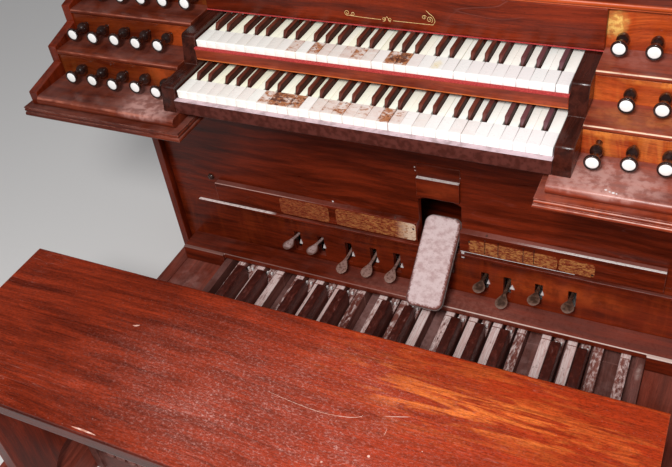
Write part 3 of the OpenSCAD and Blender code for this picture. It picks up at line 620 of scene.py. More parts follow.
def ivory(name, s):
    """Ivory key coverings: creamy tails, whiter heads, and heads that wear through to brown wood."""
    material, g = new_material(name)
    place = g.place()
    wear, tone, tail = g.given("wear"), g.given("tone"), g.given("tail")
    colour = g.mix(g.span(tone, 0.0, 1.0), s.ivory_rose, s.ivory_white)
    aged = g.span(g.parts(place)["X"], -0.2, 0.4, 1.0, 0.3)
    colour = g.mix(g.by(aged, 0.3), colour, s.ivory_cream)
    tail = g.times(tail, aged, g.span(tone, 0.0, 1.0, 1.0, 0.6))
    colour = g.mix(tail, colour, s.ivory_cream)
    stain = patch((0.84, 0.62, 0.15), (0.139, 0.1225, 0.922), (0.015, 0.022, 0.01), 0.95, grit=110.0)
    colour = stain(g, place, colour)
    lines = g.noise(g.scaled(place, (900.0, 40.0, 200.0)), 1.0, 2.0)
    colour = g.mix(g.span(lines, 0.55, 0.8, 0.0, 0.1), colour, s.ivory_line)
    blotch = g.noise(g.scaled(place, (0.65, 1.0, 1.0)), 95.0, 5.0, 0.62, 0.6)
    fine = g.noise(g.scaled(place, (0.6, 1.3, 1.0)), 420.0, 3.0, 0.6)
    tint = g.times(wear, g.span(blotch, 0.3, 0.6, 0.45, 1.0), 0.95)
    colour = g.mix(tint, colour, s.ivory_tint)
    ragged = g.plus(blotch, g.by(g.less(fine, 0.3), 0.35))
    level = g.span(wear, 0.0, 1.0, 0.90, 0.40, smooth=False)
    through = g.span(g.less(ragged, level), 0.0, 0.12)
    under = g.mix(g.span(fine, 0.35, 0.62), s.ivory_bare, s.ivory_glue)
    colour = g.mix(through, colour, under)
    spots = g.noise(g.moved(place, (3.0, 1.0, 0.0)), 120.0, 4.0, 0.6, 0.3)
    deep = g.span(g.less(spots, g.span(wear, 0.0, 1.0, 0.98, 0.47, smooth=False)), 0.0, 0.05)
    colour = g.mix(g.by(deep, 0.85), colour, s.ivory_deep)
    edge = use(g, edge_group(), {"Vector": place, "Width": 0.0007, "Amount": 0.3})
    colour = g.mix(edge["Mask"], colour, s.ivory_line)
    roughness = g.span(g.plus(through, blotch), 0.3, 1.4, 0.26, 0.62)
    height = g.plus(g.by(through, -1.0), g.by(lines, 0.05))
    finish(g, colour, roughness, (height, 0.25, 0.0006), Coat_Weight=0.12, Coat_Roughness=0.2)
    return material


def worn_maple(name, s):
    """Pedal keys: pale scuffed crowns, brown grime on their unworn tops and brown painted shade on
    their sides, and dark caps where cap is 1.
    """
    material, g = new_material(name)
    place = g.place()
    wear, cap = g.given("wear"), g.given("cap")
    xyz = g.parts(place)
    turned = g.add("ShaderNodeCombineXYZ", {0: xyz["Y"], 1: xyz["X"], 2: xyz["Z"]}).outputs[0]
    grain = use(g, grain_group(), {"Vector": turned, "Warp": 0.03})
    scuff = g.noise(g.scaled(place, (1.0, 0.35, 1.0)), 130.0, 5.0, 0.68, 0.4)
    up = g.span(g.normal()["Z"], 0.1, 0.75)
    level = g.span(wear, 0.0, 1.0, 0.66, 0.26, smooth=False)
    pale = g.by(g.span(g.less(scuff, level), -0.10, 0.16), up)
    # Brown and grime: grime on the unworn tops, and painted shade on the sides.
    grime_and_side_shade = g.mix(g.span(grain["Streaks"], 0.3, 0.7), s.pedal_grime, s.pedal_brown)
    crowned = g.mix(g.span(grain["Fine"], 0.3, 0.7), s.pedal_rose, s.pedal_pale)
    natural = g.mix(pale, grime_and_side_shade, crowned)
    mottle = g.noise(g.scaled(place, (1.0, 0.5, 1.0)), 95.0, 5.0, 0.7, 0.5)
    ebony = g.mix(g.span(mottle, 0.46, 0.62), s.cap_dark, s.cap_worn)
    ebony = g.mix(g.times(g.span(mottle, 0.6, 0.74), up, 0.28), ebony, s.pedal_rose)
    colour = g.mix(cap, natural, ebony)
    edge = use(g, edge_group(), {"Vector": place, "Width": 0.003, "Amount": 0.4})
    colour = g.mix(g.by(edge["Mask"], 0.5), colour, s.pedal_rose)
    roughness = g.span(scuff, 0.3, 0.7, 0.42, 0.7)
    height = g.plus(g.by(scuff, 0.6), g.by(grain["Fine"], 0.4))
    finish(g, colour, roughness, (height, 0.3, 0.001))
    return material


def plain(name, colour, second, scale=60.0, roughness=0.5, bump=0.2, metallic=0.0, coat=0.0,
          patches=(0.4, 0.65), stretch=(1.0, 1.0, 1.0), dust=0.0, dusty=(0.45, 0.33, 0.3),
          shine=0.4, coat_rough=0.12, extra=None):
    """A finish of two colours in soft patches with a fine grain, such as iron, felt or rubber."""
    material, g = new_material(name)
    place = g.place()
    where = g.scaled(place, stretch)
    mottle = g.noise(where, scale, 5.0, 0.62)
    mixed = g.mix(g.span(mottle, *patches), colour, second)
    if dust:
        film = use(g, dust_group(), {"Vector": place, "Amount": dust})["Mask"]
        mixed = g.mix(film, mixed, dusty)
    if extra:
        mixed = extra(g, place, mixed)
    fine = g.noise(where, scale * 9, 2.0, 0.6)
    rough = g.span(mottle, 0.3, 0.7, roughness - 0.08, roughness + 0.12)
    height = g.plus(g.by(mottle, 0.5), fine)
    finish(g, mixed, rough, (height, bump, 0.0008), Metallic=metallic, Specular_IOR_Level=shine,
           Coat_Weight=coat, Coat_Roughness=coat_rough)
    return material


# Settings


def colour_setting(name, default, description):
    """A colour of a finish, as plain linear values."""
    return bpy.props.FloatVectorProperty(
        name=name, description=description, subtype="COLOR", size=3, min=0.0, max=1.0, default=default)


def length_setting(name, default, description):
    """A length in metres."""
    return bpy.props.FloatProperty(
        name=name, description=description, default=default, min=0.0, unit="LENGTH", subtype="DISTANCE")


class OrganFinish(bpy.types.PropertyGroup):
    """Colours of the woods, the keys and the metal."""

    case_dark: colour_setting("Case, dark", (0.085, 0.008, 0.0015), "Dark streaks of the case")
    case_light: colour_setting("Case, light", (0.26, 0.026, 0.005), "Light streaks of the case")
    figured_dark: colour_setting("Figured, dark", (0.27, 0.028, 0.005), "Dark streaks of the risers")
    figured_light: colour_setting("Figured, light", (0.60, 0.092, 0.016), "Light streaks of the risers")
    figured_glow: colour_setting("Figured, glow", (0.90, 0.29, 0.055), "Curled figure of the risers")
    tread_dark: colour_setting("Treads, dark", (0.15, 0.020, 0.009), "Dark streaks of the terraces")
    tread_light: colour_setting("Treads, light", (0.40, 0.062, 0.022), "Light streaks of the terraces")
    ebonised: colour_setting("Cheeks", (0.045, 0.008, 0.004), "Dark wood of the key cheeks")
    bench_dark: colour_setting("Bench, dark", (0.115, 0.010, 0.002), "Dark streaks of the seat")
    bench_red: colour_setting("Bench, red", (0.32, 0.030, 0.006), "Red of the seat")
    bench_orange: colour_setting("Bench, orange", (0.45, 0.036, 0.005),
                                 "Orange of the seat's right end")
    bench_flame: colour_setting("Bench, flame", (0.93, 0.21, 0.035), "Flame figure of the seat")
    # The pale colour of the seat's painted sheen in its middle, and of its dust specks and scratches.
    bench_sheen_and_dust: colour_setting("Bench, haze", (0.66, 0.33, 0.28), "Dust and wear on the seat")
    bench_edge: colour_setting("Bench, edge", (0.36, 0.09, 0.04), "Rubbed edges of the seat")
    ivory_cream: colour_setting("Ivory, cream", (0.92, 0.90, 0.70), "Yellowed tails of the keys")
    ivory_white: colour_setting("Ivory, white", (0.98, 0.97, 0.96), "Pale heads of the keys")
    ivory_rose: colour_setting("Ivory, rose", (0.97, 0.91, 0.91), "Rosy heads of the keys")
    ivory_line: colour_setting("Ivory, lines", (0.56, 0.42, 0.34),
                               "Grain lines and dirty edges of the ivory")
    ivory_tint: colour_setting("Ivory, tint", (0.57, 0.30, 0.21), "Worn ivory")
    ivory_bare: colour_setting("Ivory, bare", (0.28, 0.088, 0.040), "Wood under a worn covering")
    ivory_glue: colour_setting("Ivory, glue", (0.52, 0.20, 0.075), "Glue under a worn covering")
    ivory_deep: colour_setting("Ivory, deep", (0.09, 0.025, 0.015), "Dark stains on the worn keys")
    pedal_pale: colour_setting("Pedals, pale", (0.97, 0.82, 0.78), "Scuffed crowns of the pedal keys")
    pedal_rose: colour_setting("Pedals, rose", (0.74, 0.46, 0.42), "Rubbed wood of the pedal keys")
    # Brown and grime serve as the pedal keys' grime and as painted shade on their sides.
    pedal_brown: colour_setting("Pedals, brown", (0.30, 0.11, 0.085), "Brown sides of the pedal keys")
    pedal_grime: colour_setting("Pedals, grime", (0.12, 0.022, 0.013), "Grime on the pedal keys")
    cap_dark: colour_setting("Caps, dark", (0.060, 0.008, 0.004), "Blocks of the sharp pedals")
    cap_worn: colour_setting("Caps, worn", (0.115, 0.020, 0.012), "Worn places of the sharp pedals")


class OrganSizes(bpy.types.PropertyGroup):
    """Sizes of the pieces that the frame leaves plain."""

    key_gap: length_setting("Key gap", 0.00035, "Gap between two keys that lie close")
    key_seam: length_setting("Key seam", 0.0011, "How much wider the widest seam between two keys is")
    key_round: length_setting("Key edge", 0.0008, "Radius of the keys' edges")
    pedal_round: length_setting("Pedal edge", 0.0035, "Radius of the pedal keys' edges")
    ivory_disc: length_setting("Stop face", 0.0112, "Radius of the ivory disc in a stop's head")
    gilt: length_setting("Gilt line", 0.0005, "Half the width of the gilt lines on the nameboard")


def settings():
    return bpy.context.scene.organ_finish


def sizes():
    return bpy.context.scene.organ_sizes


# Operators


def dress(names, material):
    """Gives CAD nodes their finish."""
    for name in names:
        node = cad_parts[name]
        node.data.materials.clear()
        node.data.materials.append(material)


def soften(names, width):
    """Rounds the edges of CAD boards with modifiers, their meshes as they are."""
    for name in names:
        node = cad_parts[name]
        weld = node.modifiers.new("weld", "WELD")
        weld.merge_threshold = 0.00002
        flat = node.modifiers.new("flat", "DECIMATE")
        flat.decimate_type = "DISSOLVE"
        flat.angle_limit = math.radians(1.0)
        bevel = node.modifiers.new("edge", "BEVEL")
        bevel.width = width
        bevel.segments = 2
        bevel.limit_method = "ANGLE"
        bevel.angle_limit = math.radians(35)
        bevel.harden_normals = False
        bevel.use_clamp_overlap = True


class ORGAN_OT_case(bpy.types.Operator):
    """Finishes the case, the knee board, the rail, the toe board, the hatch and the top"""

    bl_idname = "organ.case"
    bl_label = "Case"

    def execute(self, context):
        s = settings()
        boards = wood("case mahogany", s.case_dark, s.case_light, dust=0.05, shade_falloff=0.2)
        upright = wood("side mahogany", s.case_dark, s.case_light, s.figured_dark, axis="Z",
                       figure=0.3, dust=0.1)
        flame = several(
            patch(s.figured_light, (0.36, KNEE_FACE, 0.20), (0.22, 0.1, 0.05), 0.55, grit=22.0),
            patch(s.figured_dark, (0.18, KNEE_FACE, 0.16), (0.5, 0.1, 0.05), 0.5, grit=16.0))
        toe = wood("toe board mahogany", s.case_dark, s.case_light, s.figured_light, figure=0.15,
                   dust=0.2, shade_falloff=0.35, offset=(2.0, 5.0, 1.0), extra=flame)
        # Painted highlights along the rail's top edge, pinkish towards the left and near white at the
        # right, and along the strip below it at the left.
        pale = several(
            pale_top_wear_and_highlight((0.36, 0.13, 0.10), 0.14, 0.24, 0.7, foot=0.34),
            pale_top_wear_and_highlight((0.36, 0.13, 0.10), -0.1, -0.3, 0.3, foot=0.34),
            pale_top_wear_and_highlight((0.97, 0.90, 0.86), 0.24, 0.44, 1.0, foot=0.34, back=0.306),
            pale_top_wear_and_highlight((0.72, 0.44, 0.38), -0.22, -0.42, 0.8, foot=0.34, back=0.302),
            pale_top_wear_and_highlight((0.95, 0.80, 0.76), -0.40, -0.43, 1.0, foot=0.262, head=0.28))
        rail = wood("rail mahogany", s.case_dark, s.case_light, dust=0.25, wear=0.8,
                    offset=(1.0, 2.0, 0.5), worn=(0.42, 0.14, 0.10), extra=pale)
        # A painted highlight along the hatch's top edge, and an orange patch below it.
        lip = several(
            pale_top_wear_and_highlight((0.92, 0.80, 0.76), -1.0, -0.9, 1.0, foot=0.485, head=0.5),
            patch((0.40, 0.06, 0.015), (0.06, 0.31, 0.465), (0.06, 0.05, 0.03), 0.4, grit=30.0))
        hatch = wood("hatch mahogany", s.case_dark, s.figured_dark, dust=0.05, wear=0.6,
                     offset=(1.0, 7.0, 0.5), worn=(0.5, 0.2, 0.14), extra=lip)
        top = wood("top mahogany", s.case_dark, s.figured_dark, s.figured_dark, figure=0.3,
                   dust=0.12, wear=0.7, worn=(0.6, 0.22, 0.1), offset=(2.0, 3.0, 0.0),
                   extra=front(s.figured_light, 0.75))
        dress(["knee_board", "nameboard", "case_back"], boards)
        dress(["case_sides"], upright)
        dress(["toe_board"], toe)
        dress(["label_rail"], rail)
        dress(["hatch"], hatch)
        dress(["case_top"], top)
        soften(["case_sides", "case_back", "nameboard", "label_rail", "hatch", "case_top"], 0.0014)
        return {"FINISHED"}


class ORGAN_OT_jambs(bpy.types.Operator):
    """Finishes the terraced jambs, their ledges, the cheeks and the slips"""

    bl_idname = "organ.jambs"
    bl_label = "Jambs"

    def execute(self, context):
        s = settings()
        glow = several(
            patch((0.95, 0.60, 0.16), (0.437, 0.226, 0.985), (0.028, 0.03, 0.035), 0.85, grit=90.0),
            patch(s.figured_glow, (0.55, 0.146, 0.925), (0.10, 0.03, 0.016), 0.7, grit=50.0),
            patch(s.figured_glow, (0.47, 0.066, 0.862), (0.10, 0.03, 0.014), 0.6, grit=50.0),
            patch(s.figured_light, (-0.47, 0.12, 0.88), (0.08, 0.12, 0.1), 0.5, grit=24.0))
        risers = wood("figured mahogany", s.figured_dark, s.figured_light, s.figured_glow,
                      figure=0.4, warp=0.16, dust=0.0, shade_falloff=0.7, gloss=0.28, coat=0.1, extra=glow)
        # Pale and orange patches on the treads, then painted highlights along their rounded fronts.
        tread_patches_and_nose_highlights = several(
            patch((0.56, 0.30, 0.26), (0.47, 0.0, TREAD_TOP), (0.16, 0.075, 0.02), 0.85, grit=45.0),
            patch((0.56, 0.30, 0.26), (-0.47, 0.0, TREAD_TOP), (0.09, 0.08, 0.02), 0.8, grit=45.0),
            patch((0.62, 0.20, 0.06), (0.52, 0.10, 0.875), (0.14, 0.04, 0.02), 0.5, grit=45.0),
            patch((0.50, 0.20, 0.16), (0.47, 0.20, 0.937), (0.10, 0.05, 0.02), 0.4, grit=45.0),
            self.nosing_highlight((0.97, 0.74, 0.48), 0.30, 0.46, 0.95, 0.83),
            self.nosing_highlight((0.46, 0.15, 0.10), 0.30, 0.46, 0.4),
            self.nosing_highlight((0.50, 0.16, 0.10), -0.30, -0.46, 0.5))
        treads = wood("terrace mahogany", s.tread_dark, s.tread_light, s.figured_light, figure=0.25,
                      dust=0.22, wear=0.6, worn=(0.55, 0.18, 0.11), offset=(4.0, 1.0, 0.0),
                      shade_falloff=0.6, extra=tread_patches_and_nose_highlights)
        # A painted highlight along the ledges' rounded fronts.
        ledges = wood("ledge mahogany", s.tread_dark, s.tread_light, s.figured_light, figure=0.25,
                      dust=0.25, wear=0.7, worn=(0.55, 0.22, 0.16), offset=(7.0, 1.0, 0.0),
                      shade_falloff=0.65, extra=self.nosing_highlight((0.74, 0.38, 0.28), 0.30, 0.46, 0.6))
        cheeks = wood("ebonised cheeks", [c * 0.5 for c in s.ebonised],
                      [c * 1.7 for c in s.ebonised], axis="Y", dust=0.04, wear=0.45,
                      worn=(0.42, 0.24, 0.20), gloss=0.26, coat=0.12, shade_falloff=0.1)
        slips = wood("slip mahogany", s.tread_dark, s.tread_light, dust=0.2, wear=0.5,
                     offset=(3.0, 8.0, 2.0), extra=self.lower_slip)
        dress(["jamb_risers"], risers)
        dress(["jamb_treads"], treads)
        dress(["jamb_ledges"], ledges)
        dress(["key_cheeks"], cheeks)
        dress(["key_slips", "key_beds"], slips)
        soften(["key_cheeks", "key_slips"], 0.0012)
        return {"FINISHED"}

    @staticmethod
    def nosing_highlight(colour, start, end, amount, foot=-1.0):
        """A painted highlight: a pale line on a board's rounded front edge, stronger towards end along
        X, above a height.
        """

        def line(g, place, below):
            up = g.normal()["Z"]
            band = g.times(g.span(up, 0.42, 0.56), g.span(up, 0.86, 0.74))
            broken = g.span(g.noise(g.scaled(place, (0.5, 1.0, 1.0)), 60.0, 3.0), 0.38, 0.56, 0.2, 1.0)
            band = g.times(band, g.math("GREATER_THAN", g.parts(place)["Z"], foot))
            return g.mix(g.times(band, broken, g.span(g.parts(place)["X"], start, end), amount),
                         below, colour)

        return line

    @staticmethod
    def lower_slip(g, place, below):
        """The lower slip, purple brown with a dusty top, and the upper one's orange lower edge."""
        height = g.parts(place)["Z"]
        low = g.math("LESS_THAN", height, 0.875)
        film = g.span(g.noise(place, 60.0, 4.0), 0.3, 0.6, 0.55, 1.0)
        dusty = g.times(g.span(g.normal()["Z"], 0.4, 0.8), film)
        dark = g.mix(g.span(g.noise(place, 90.0, 4.0), 0.4, 0.6), (0.055, 0.012, 0.008),
                     (0.095, 0.024, 0.018))
        dark = g.mix(dusty, dark, (0.60, 0.44, 0.47))
        foot = g.times(g.span(height, 0.8845, 0.8825), g.math("GREATER_THAN", height, 0.875))
        upper = g.mix(g.by(foot, 0.8), below, (0.70, 0.16, 0.035))
        return g.mix(low, upper, dark)


class ORGAN_OT_keys(bpy.types.Operator):
    """Makes the ivory naturals and the ebony sharps of both keyboards"""

    bl_idname = "organ.keys"
    bl_label = "Keyboards"

    def execute(self, context):
        rng = np.random.default_rng(SEED)
        self.naturals(rng)
        self.sharps(rng)
        return {"FINISHED"}

    @staticmethod
    def plan():
        """Pitch and left edges of the naturals, which have a sharp after them, and its middle.

        Three naturals with two sharps are cut into five like tails, and four with three into seven."""
        low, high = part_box("manual_naturals")
        pitch = round((high.x - low.x) / KEYS, 4)
        index = np.arange(KEYS)
        edges = (low.x + high.x) / 2 + (index - KEYS / 2) * pitch
        step = index % 7
        place = np.where(step < 3, (1.5 + 2 * step) * 3 / 5, 3 + (1.5 + 2 * (step - 3)) * 4 / 7)
        sharp_x = edges[0] + (7 * (index // 7) + place) * pitch
        has_sharp = np.isin(step, SHARP_STEPS) & (index < KEYS - 1)
        return pitch, edges, has_sharp, sharp_x

    @staticmethod
    def depths():
        """How long a key is, and how far back its head ends, both from its front."""
        low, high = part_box("manual_naturals")
        sharp_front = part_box("manual_sharps")[0].y
        return high.y - MANUAL_SETBACK - low.y, sharp_front - low.y - SHARP_CLEAR

    def naturals(self, rng):
        """Bars with rounded edges: wide heads, and tails cut in beside the sharps.

        Each lies lower by its own random step, and carries its wear, its tone and where its tail is."""
        s, size = settings(), sizes()
        low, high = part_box("manual_naturals")
        pitch, edges, has_sharp, sharp_x = self.plan()
        length, head = self.depths()
        r = size.key_round
        notch = SHARP_HALF + SHARP_CLEAR
        y = np.array([0.0, 0.4 * r, r, 0.005, 0.011, head - 0.0003, head, head + 0.0001,
                      head + 0.0008, length])
        inset = np.array([r, 0.35 * r, 0, 0, 0, 0, 0, 0, 0, 0])
        wide = np.array([1, 1, 1, 1, 1, 1, 1, 0, 0, 0])
        rubbed = np.array([0.1, 0.15, 0.45, 0.85, 1, 1, 1, 0, 0, 0])
        dip = np.array([r, 0.35 * r, 0, 0, 0, 0, 0.0003, 0.0003, 0, 0])
        rings, wear, tone, tail = [], [], [], []
        keyboards = ((WORN_LOWER, SEAMS_LOWER), (WORN_UPPER, SEAMS_UPPER))
        for manual, (worn, seams) in enumerate(keyboards):
            open_by = np.array([seams.get(i, 0.0) for i in range(KEYS + 1)])
            seam = size.key_gap + size.key_seam * open_by
            left = edges + seam[:-1] / 2
            right = edges + pitch - seam[1:] / 2
            cut_right = np.where(has_sharp, sharp_x - notch, right)
            cut_left = np.where(np.roll(has_sharp, 1), np.roll(sharp_x, 1) + notch, left)
            top = high.z - MANUAL_RISE + manual * MANUAL_RISE
            top = top - np.abs(rng.normal(0, 0.00022, KEYS))
            left = np.where(wide, left[:, None], cut_left[:, None]) + inset
            right = np.where(wide, right[:, None], cut_right[:, None]) - inset
            stations = np.broadcast_to(low.y + manual * MANUAL_SETBACK + y, left.shape)
            foot = np.full_like(left, low.z + manual * MANUAL_RISE)
            ring = bars_along_y(stations, left, right, foot, top[:, None] - dip,
                                np.full_like(left, r))
            rings.append(ring)
            shape = ring.shape[:3]
            key_wear = np.array([worn.get(i, 0.02) for i in range(KEYS)])
            wear.append(np.broadcast_to((key_wear[:, None] * rubbed)[..., None], shape))
            tone.append(np.broadcast_to(rng.uniform(0, 1, KEYS)[:, None, None], shape))
            tail.append(np.broadcast_to((1.0 - wide)[None, :, None], shape))
        keys = piece("ivory_keys", tubes(np.concatenate(rings)), "ivory", ivory("ivory", s), crease=40,
                     wear=np.concatenate(wear), tone=np.concatenate(tone), tail=np.concatenate(tail))
        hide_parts("manual_naturals")

    def sharps(self, rng):
        """Bars that slope up at their fronts, each with a raised top that is narrower than its foot."""
        low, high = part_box("manual_naturals")
        sharp_low, sharp_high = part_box("manual_sharps")
        has_sharp, sharp_x = self.plan()[2:]
        length, head = self.depths()
        start = head + SHARP_CLEAR
        centres = sharp_x[has_sharp][:, None]
        y = np.array([start, start + 0.0004, start + 0.0045, start + 0.0088, start + 0.0105,
                      SHARP_REACH - 0.0006, SHARP_REACH, length])
        half = SHARP_HALF * np.array([0.36, 0.42, 0.68, 0.94, 1.0, 1.0, 1.0, 1.0])
        rings = []
        for manual in range(2):
            flat = high.z - MANUAL_RISE + manual * MANUAL_RISE
            ridge = sharp_high.z - MANUAL_RISE + manual * MANUAL_RISE
            height = np.array([flat + 0.0006, flat + 0.0022, flat + 0.007, ridge - 0.0012, ridge,
                               ridge, flat + 0.002, flat])
            shape = (len(centres), len(y))
            stations = np.broadcast_to(low.y + manual * MANUAL_SETBACK + y, shape)
            sway = centres + rng.normal(0, 0.00015, centres.shape)
            ring = bars_along_y(stations, sway - half, sway + half,
                                sharp_low.z + manual * MANUAL_RISE,
                                np.broadcast_to(height, shape), np.full(shape, 0.0012))
            share = np.clip((ring[..., 2] - flat) / (ridge - flat), 0.0, 1.0)
            ring[..., 0] = sway[..., None] + (ring[..., 0] - sway[..., None]) * (1.0 - 0.1 * share)
            rings.append(ring)
        ebony = plain("ebony", (0.030, 0.006, 0.003), (0.060, 0.014, 0.008), scale=40.0,
                      roughness=0.5, stretch=(4.0, 0.5, 2.0), bump=0.08, shine=0.2,
                      extra=self.rubbed_tops_and_sheen)
        made = piece("ebony_keys", tubes(np.concatenate(rings)), "ebony", ebony)
        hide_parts("manual_sharps")

    @staticmethod
    def rubbed_tops_and_sheen(g, place, below):
        """The sharps' rubbed tops and fronts, browner than their sides, with a painted grey sheen
        towards the right.
        """
        up = g.span(g.normal()["Z"], 0.2, 0.7)
        streak = g.noise(g.scaled(place, (8.0, 0.6, 1.0)), 30.0, 4.0, 0.6)
        top = g.mix(g.span(streak, 0.4, 0.62), (0.080, 0.014, 0.007), (0.15, 0.034, 0.018))
        # Painted sheen: the tops turn greyish purple towards the right.
        right = g.span(g.parts(place)["X"], 0.20, 0.36, 0.0, 0.7)
        top = g.mix(right, top, (0.13, 0.055, 0.070))
        return g.mix(up, below, top)


class ORGAN_OT_stops(bpy.types.Operator):
    """Makes the turned stops and their ivory faces"""

    bl_idname = "organ.stops"
    bl_label = "Stops"

    def execute(self, context):
        size = sizes()
        turned = plain("turned ebony", (0.014, 0.005, 0.004), (0.03, 0.010, 0.007), scale=70.0,
                       roughness=0.25, coat=1.0, coat_rough=0.045, bump=0.0)
        face = plain("stop ivory", (0.94, 0.93, 0.91), (0.88, 0.86, 0.82), scale=90.0,
                     roughness=0.36, coat=0.1, bump=0.03)
        outline = through([(0.0125, 0.0008), (0.0141, 0.0002), (0.0149, 0.0018), (0.0149, 0.0046),
                           (0.0138, 0.0074), (0.0112, 0.0104), (0.0084, 0.0134), (0.0067, 0.0170),
                           (0.0062, 0.0220), (0.0066, 0.0262), (0.0088, 0.0296), (0.0108, 0.0334),
                           (0.0114, 0.0380), (0.0109, 0.0424), (0.0092, 0.0462), (0.0078, 0.0486),
                           (0.0074, 0.0507)], 4)
        rod_radius = 0.0055
        front = [(0.0, 0.0012), (0.0108, 0.0012)]
        arc = np.linspace(0, 1, 7)
        disc = np.stack([size.ivory_disc * np.sin(arc * math.pi / 2),
                         0.0013 - 0.0012 * np.cos(arc * math.pi / 2)], -1)
        disc = np.concatenate([disc, [(size.ivory_disc, 0.0022), (0.0, 0.0022)]])
        for name in STOPS:
            low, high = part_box(name)
            past = name == "stops_past_view"
            own = ((low.x + high.x) / 2, low.y, (low.z + high.z) / 2)
            centres = self.past_centres() if past else [own]
            end = 0.16 if past else high.y - low.y
            rod = [(rod_radius, outline[-1, 1]), (rod_radius, end), (0.0, end)]
            profile = np.concatenate([front, outline, rod])
            body = ROOT if past else name
            heads = tubes(np.stack([lathe(profile, 40, c) for c in centres]))
            faces = tubes(np.stack([lathe(disc, 36, c) for c in centres]))
            knob = piece(name.replace("stop", "knob", 1), heads, "rosewood", turned, body)
            piece(name.replace("stop", "knob_face", 1), faces, "ivory", face, body)
            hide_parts(name)
        return {"FINISHED"}

    @staticmethod
    def past_centres():
        """Centres of the stops beyond the view: the left jamb's, mirrored, at their row's depth."""
        found = []
        for name in STOPS:
            right = name.replace("left", "right")
            if "left" in name and right not in STOPS:
                row = name.split("_")[2]
                low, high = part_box(name)
                depth = max(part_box(n)[0].y for n in STOPS if f"_{row}_" in n)
                found.append((-(low.x + high.x) / 2, depth, (low.z + high.z) / 2))
        return found


class ORGAN_OT_levers(bpy.types.Operator):
    """Makes the iron combination pedals: a neck that widens into a dished, spoon-shaped paddle"""

    bl_idname = "organ.levers"
    bl_label = "Combination pedals"

    def execute(self, context):
        iron = plain("worn iron", (0.055, 0.026, 0.016), (0.14, 0.07, 0.045), scale=120.0,
                     roughness=0.5, bump=0.3, patches=(0.44, 0.62), extra=self.rims)
        path = through([(-0.004, 0.0), (-0.06, 0.0), (-0.095, 0.001), (-0.115, 0.005), (-0.128, 0.0085),
                        (-0.140, 0.0085), (-0.157, 0.0075), (-0.168, 0.0062), (-0.1725, 0.0052)], 6)
        # Distances from the pivot, and half the width there
        reach = -path[:, 0]
        back = [0.0, 0.115, 0.128, 0.134, 0.140, 0.148, 0.155, 0.163, 0.170, 0.1725]
        half = [0.0045, 0.0045, 0.005, 0.0072, 0.0105, 0.0142, 0.0158, 0.015, 0.009, 0.003]
        across = np.interp(reach, back, half)
        above = np.interp(reach, [0.0, 0.1, 0.128, 0.14, 0.157, 0.168, 0.1725],
                          [0.0055, 0.005, 0.0034, 0.0028, 0.0024, 0.0020, 0.0010])
        dish = np.interp(reach, [0.13, 0.15, 0.165, 0.1725], [0.0, 0.0026, 0.0016, 0.0])
        section = np.stack([ellipse(a, b, 24, d) for a, b, d in zip(across, above, dish)])
        local = sweep(np.stack([0.0 * path[:, 0], path[:, 0], path[:, 1]], -1), section, (0, 0, 1))
        side = np.abs(local[..., 0]) / across[:, None]
        near_end = np.clip((reach - 0.163) / 0.006, 0.0, 1.0)[:, None]
        rim = np.clip(np.maximum((side - 0.62) / 0.25, near_end), 0.0, 1.0)
        rim = rim * np.clip((reach - 0.128) / 0.008, 0.0, 1.0)[:, None]
        eye = lathe([(0.0, -0.0045), (0.011, -0.0045), (0.0115, -0.003), (0.0115, 0.003),
                     (0.011, 0.0045), (0.0, 0.0045)], 32, (0, 0, 0))[:, ::-1, [1, 0, 2]]
        for name in LEVERS:
            low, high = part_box(name)
            drop = PEDAL_DROPS[int(name.rsplit("_", 1)[1]) - 1]
            pivot = ((low.x + high.x) / 2, *PEDAL_PIVOT)
            pressed = tubes((turned_about_x(local, drop - PEDAL_SLOPE) + pivot)[None])
            paddle = piece(name.replace("combination_pedal", "lever"), pressed, "iron", iron, name,
                           crease=60, rim=rim)
            piece(name.replace("combination_pedal", "lever_eye"), tubes(eye[None] + pivot), "iron",
                  iron, name)
            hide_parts(name)
        dress(["lever_rail"],
              plain("rail steel", (0.30, 0.27, 0.25), (0.46, 0.43, 0.40), metallic=0.8, dust=0.4))
        return {"FINISHED"}

    @staticmethod
    def rims(g, place, below):
        """Rubbed pale discs with dark rims at the left, dark discs with paler rims at the right."""
        rim, x = g.given("rim"), g.parts(place)["X"]
        rubbed = g.span(g.noise(place, 130.0, 4.0, 0.65), 0.34, 0.56)
        pale = g.mix(rubbed, (0.24, 0.13, 0.11), (0.50, 0.35, 0.33))
        pale = g.mix(rim, pale, (0.14, 0.06, 0.045))
        grey = g.mix(rubbed, (0.12, 0.05, 0.035), (0.34, 0.19, 0.16))
        worn = g.times(g.span(x, 0.12, 0.05), g.span(g.normal()["Z"], 0.3, 0.7), 0.85)
        dark = g.mix(g.by(rim, 0.5), g.mix(worn, below, grey), (0.28, 0.15, 0.11))
        left = g.mix(g.span(g.normal()["Z"], 0.2, 0.6), below, pale)
        return g.mix(g.span(x, -0.27, -0.23), left, dark)


def turned_about_x(points, degrees):
    """Points turned about the X axis through the origin, so that what lies at -Y goes down."""
    angle = math.radians(degrees)
    y = points[..., 1] * math.cos(angle) - points[..., 2] * math.sin(angle)
    z = points[..., 1] * math.sin(angle) + points[..., 2] * math.cos(angle)
    return np.stack([points[..., 0], y, z], -1)


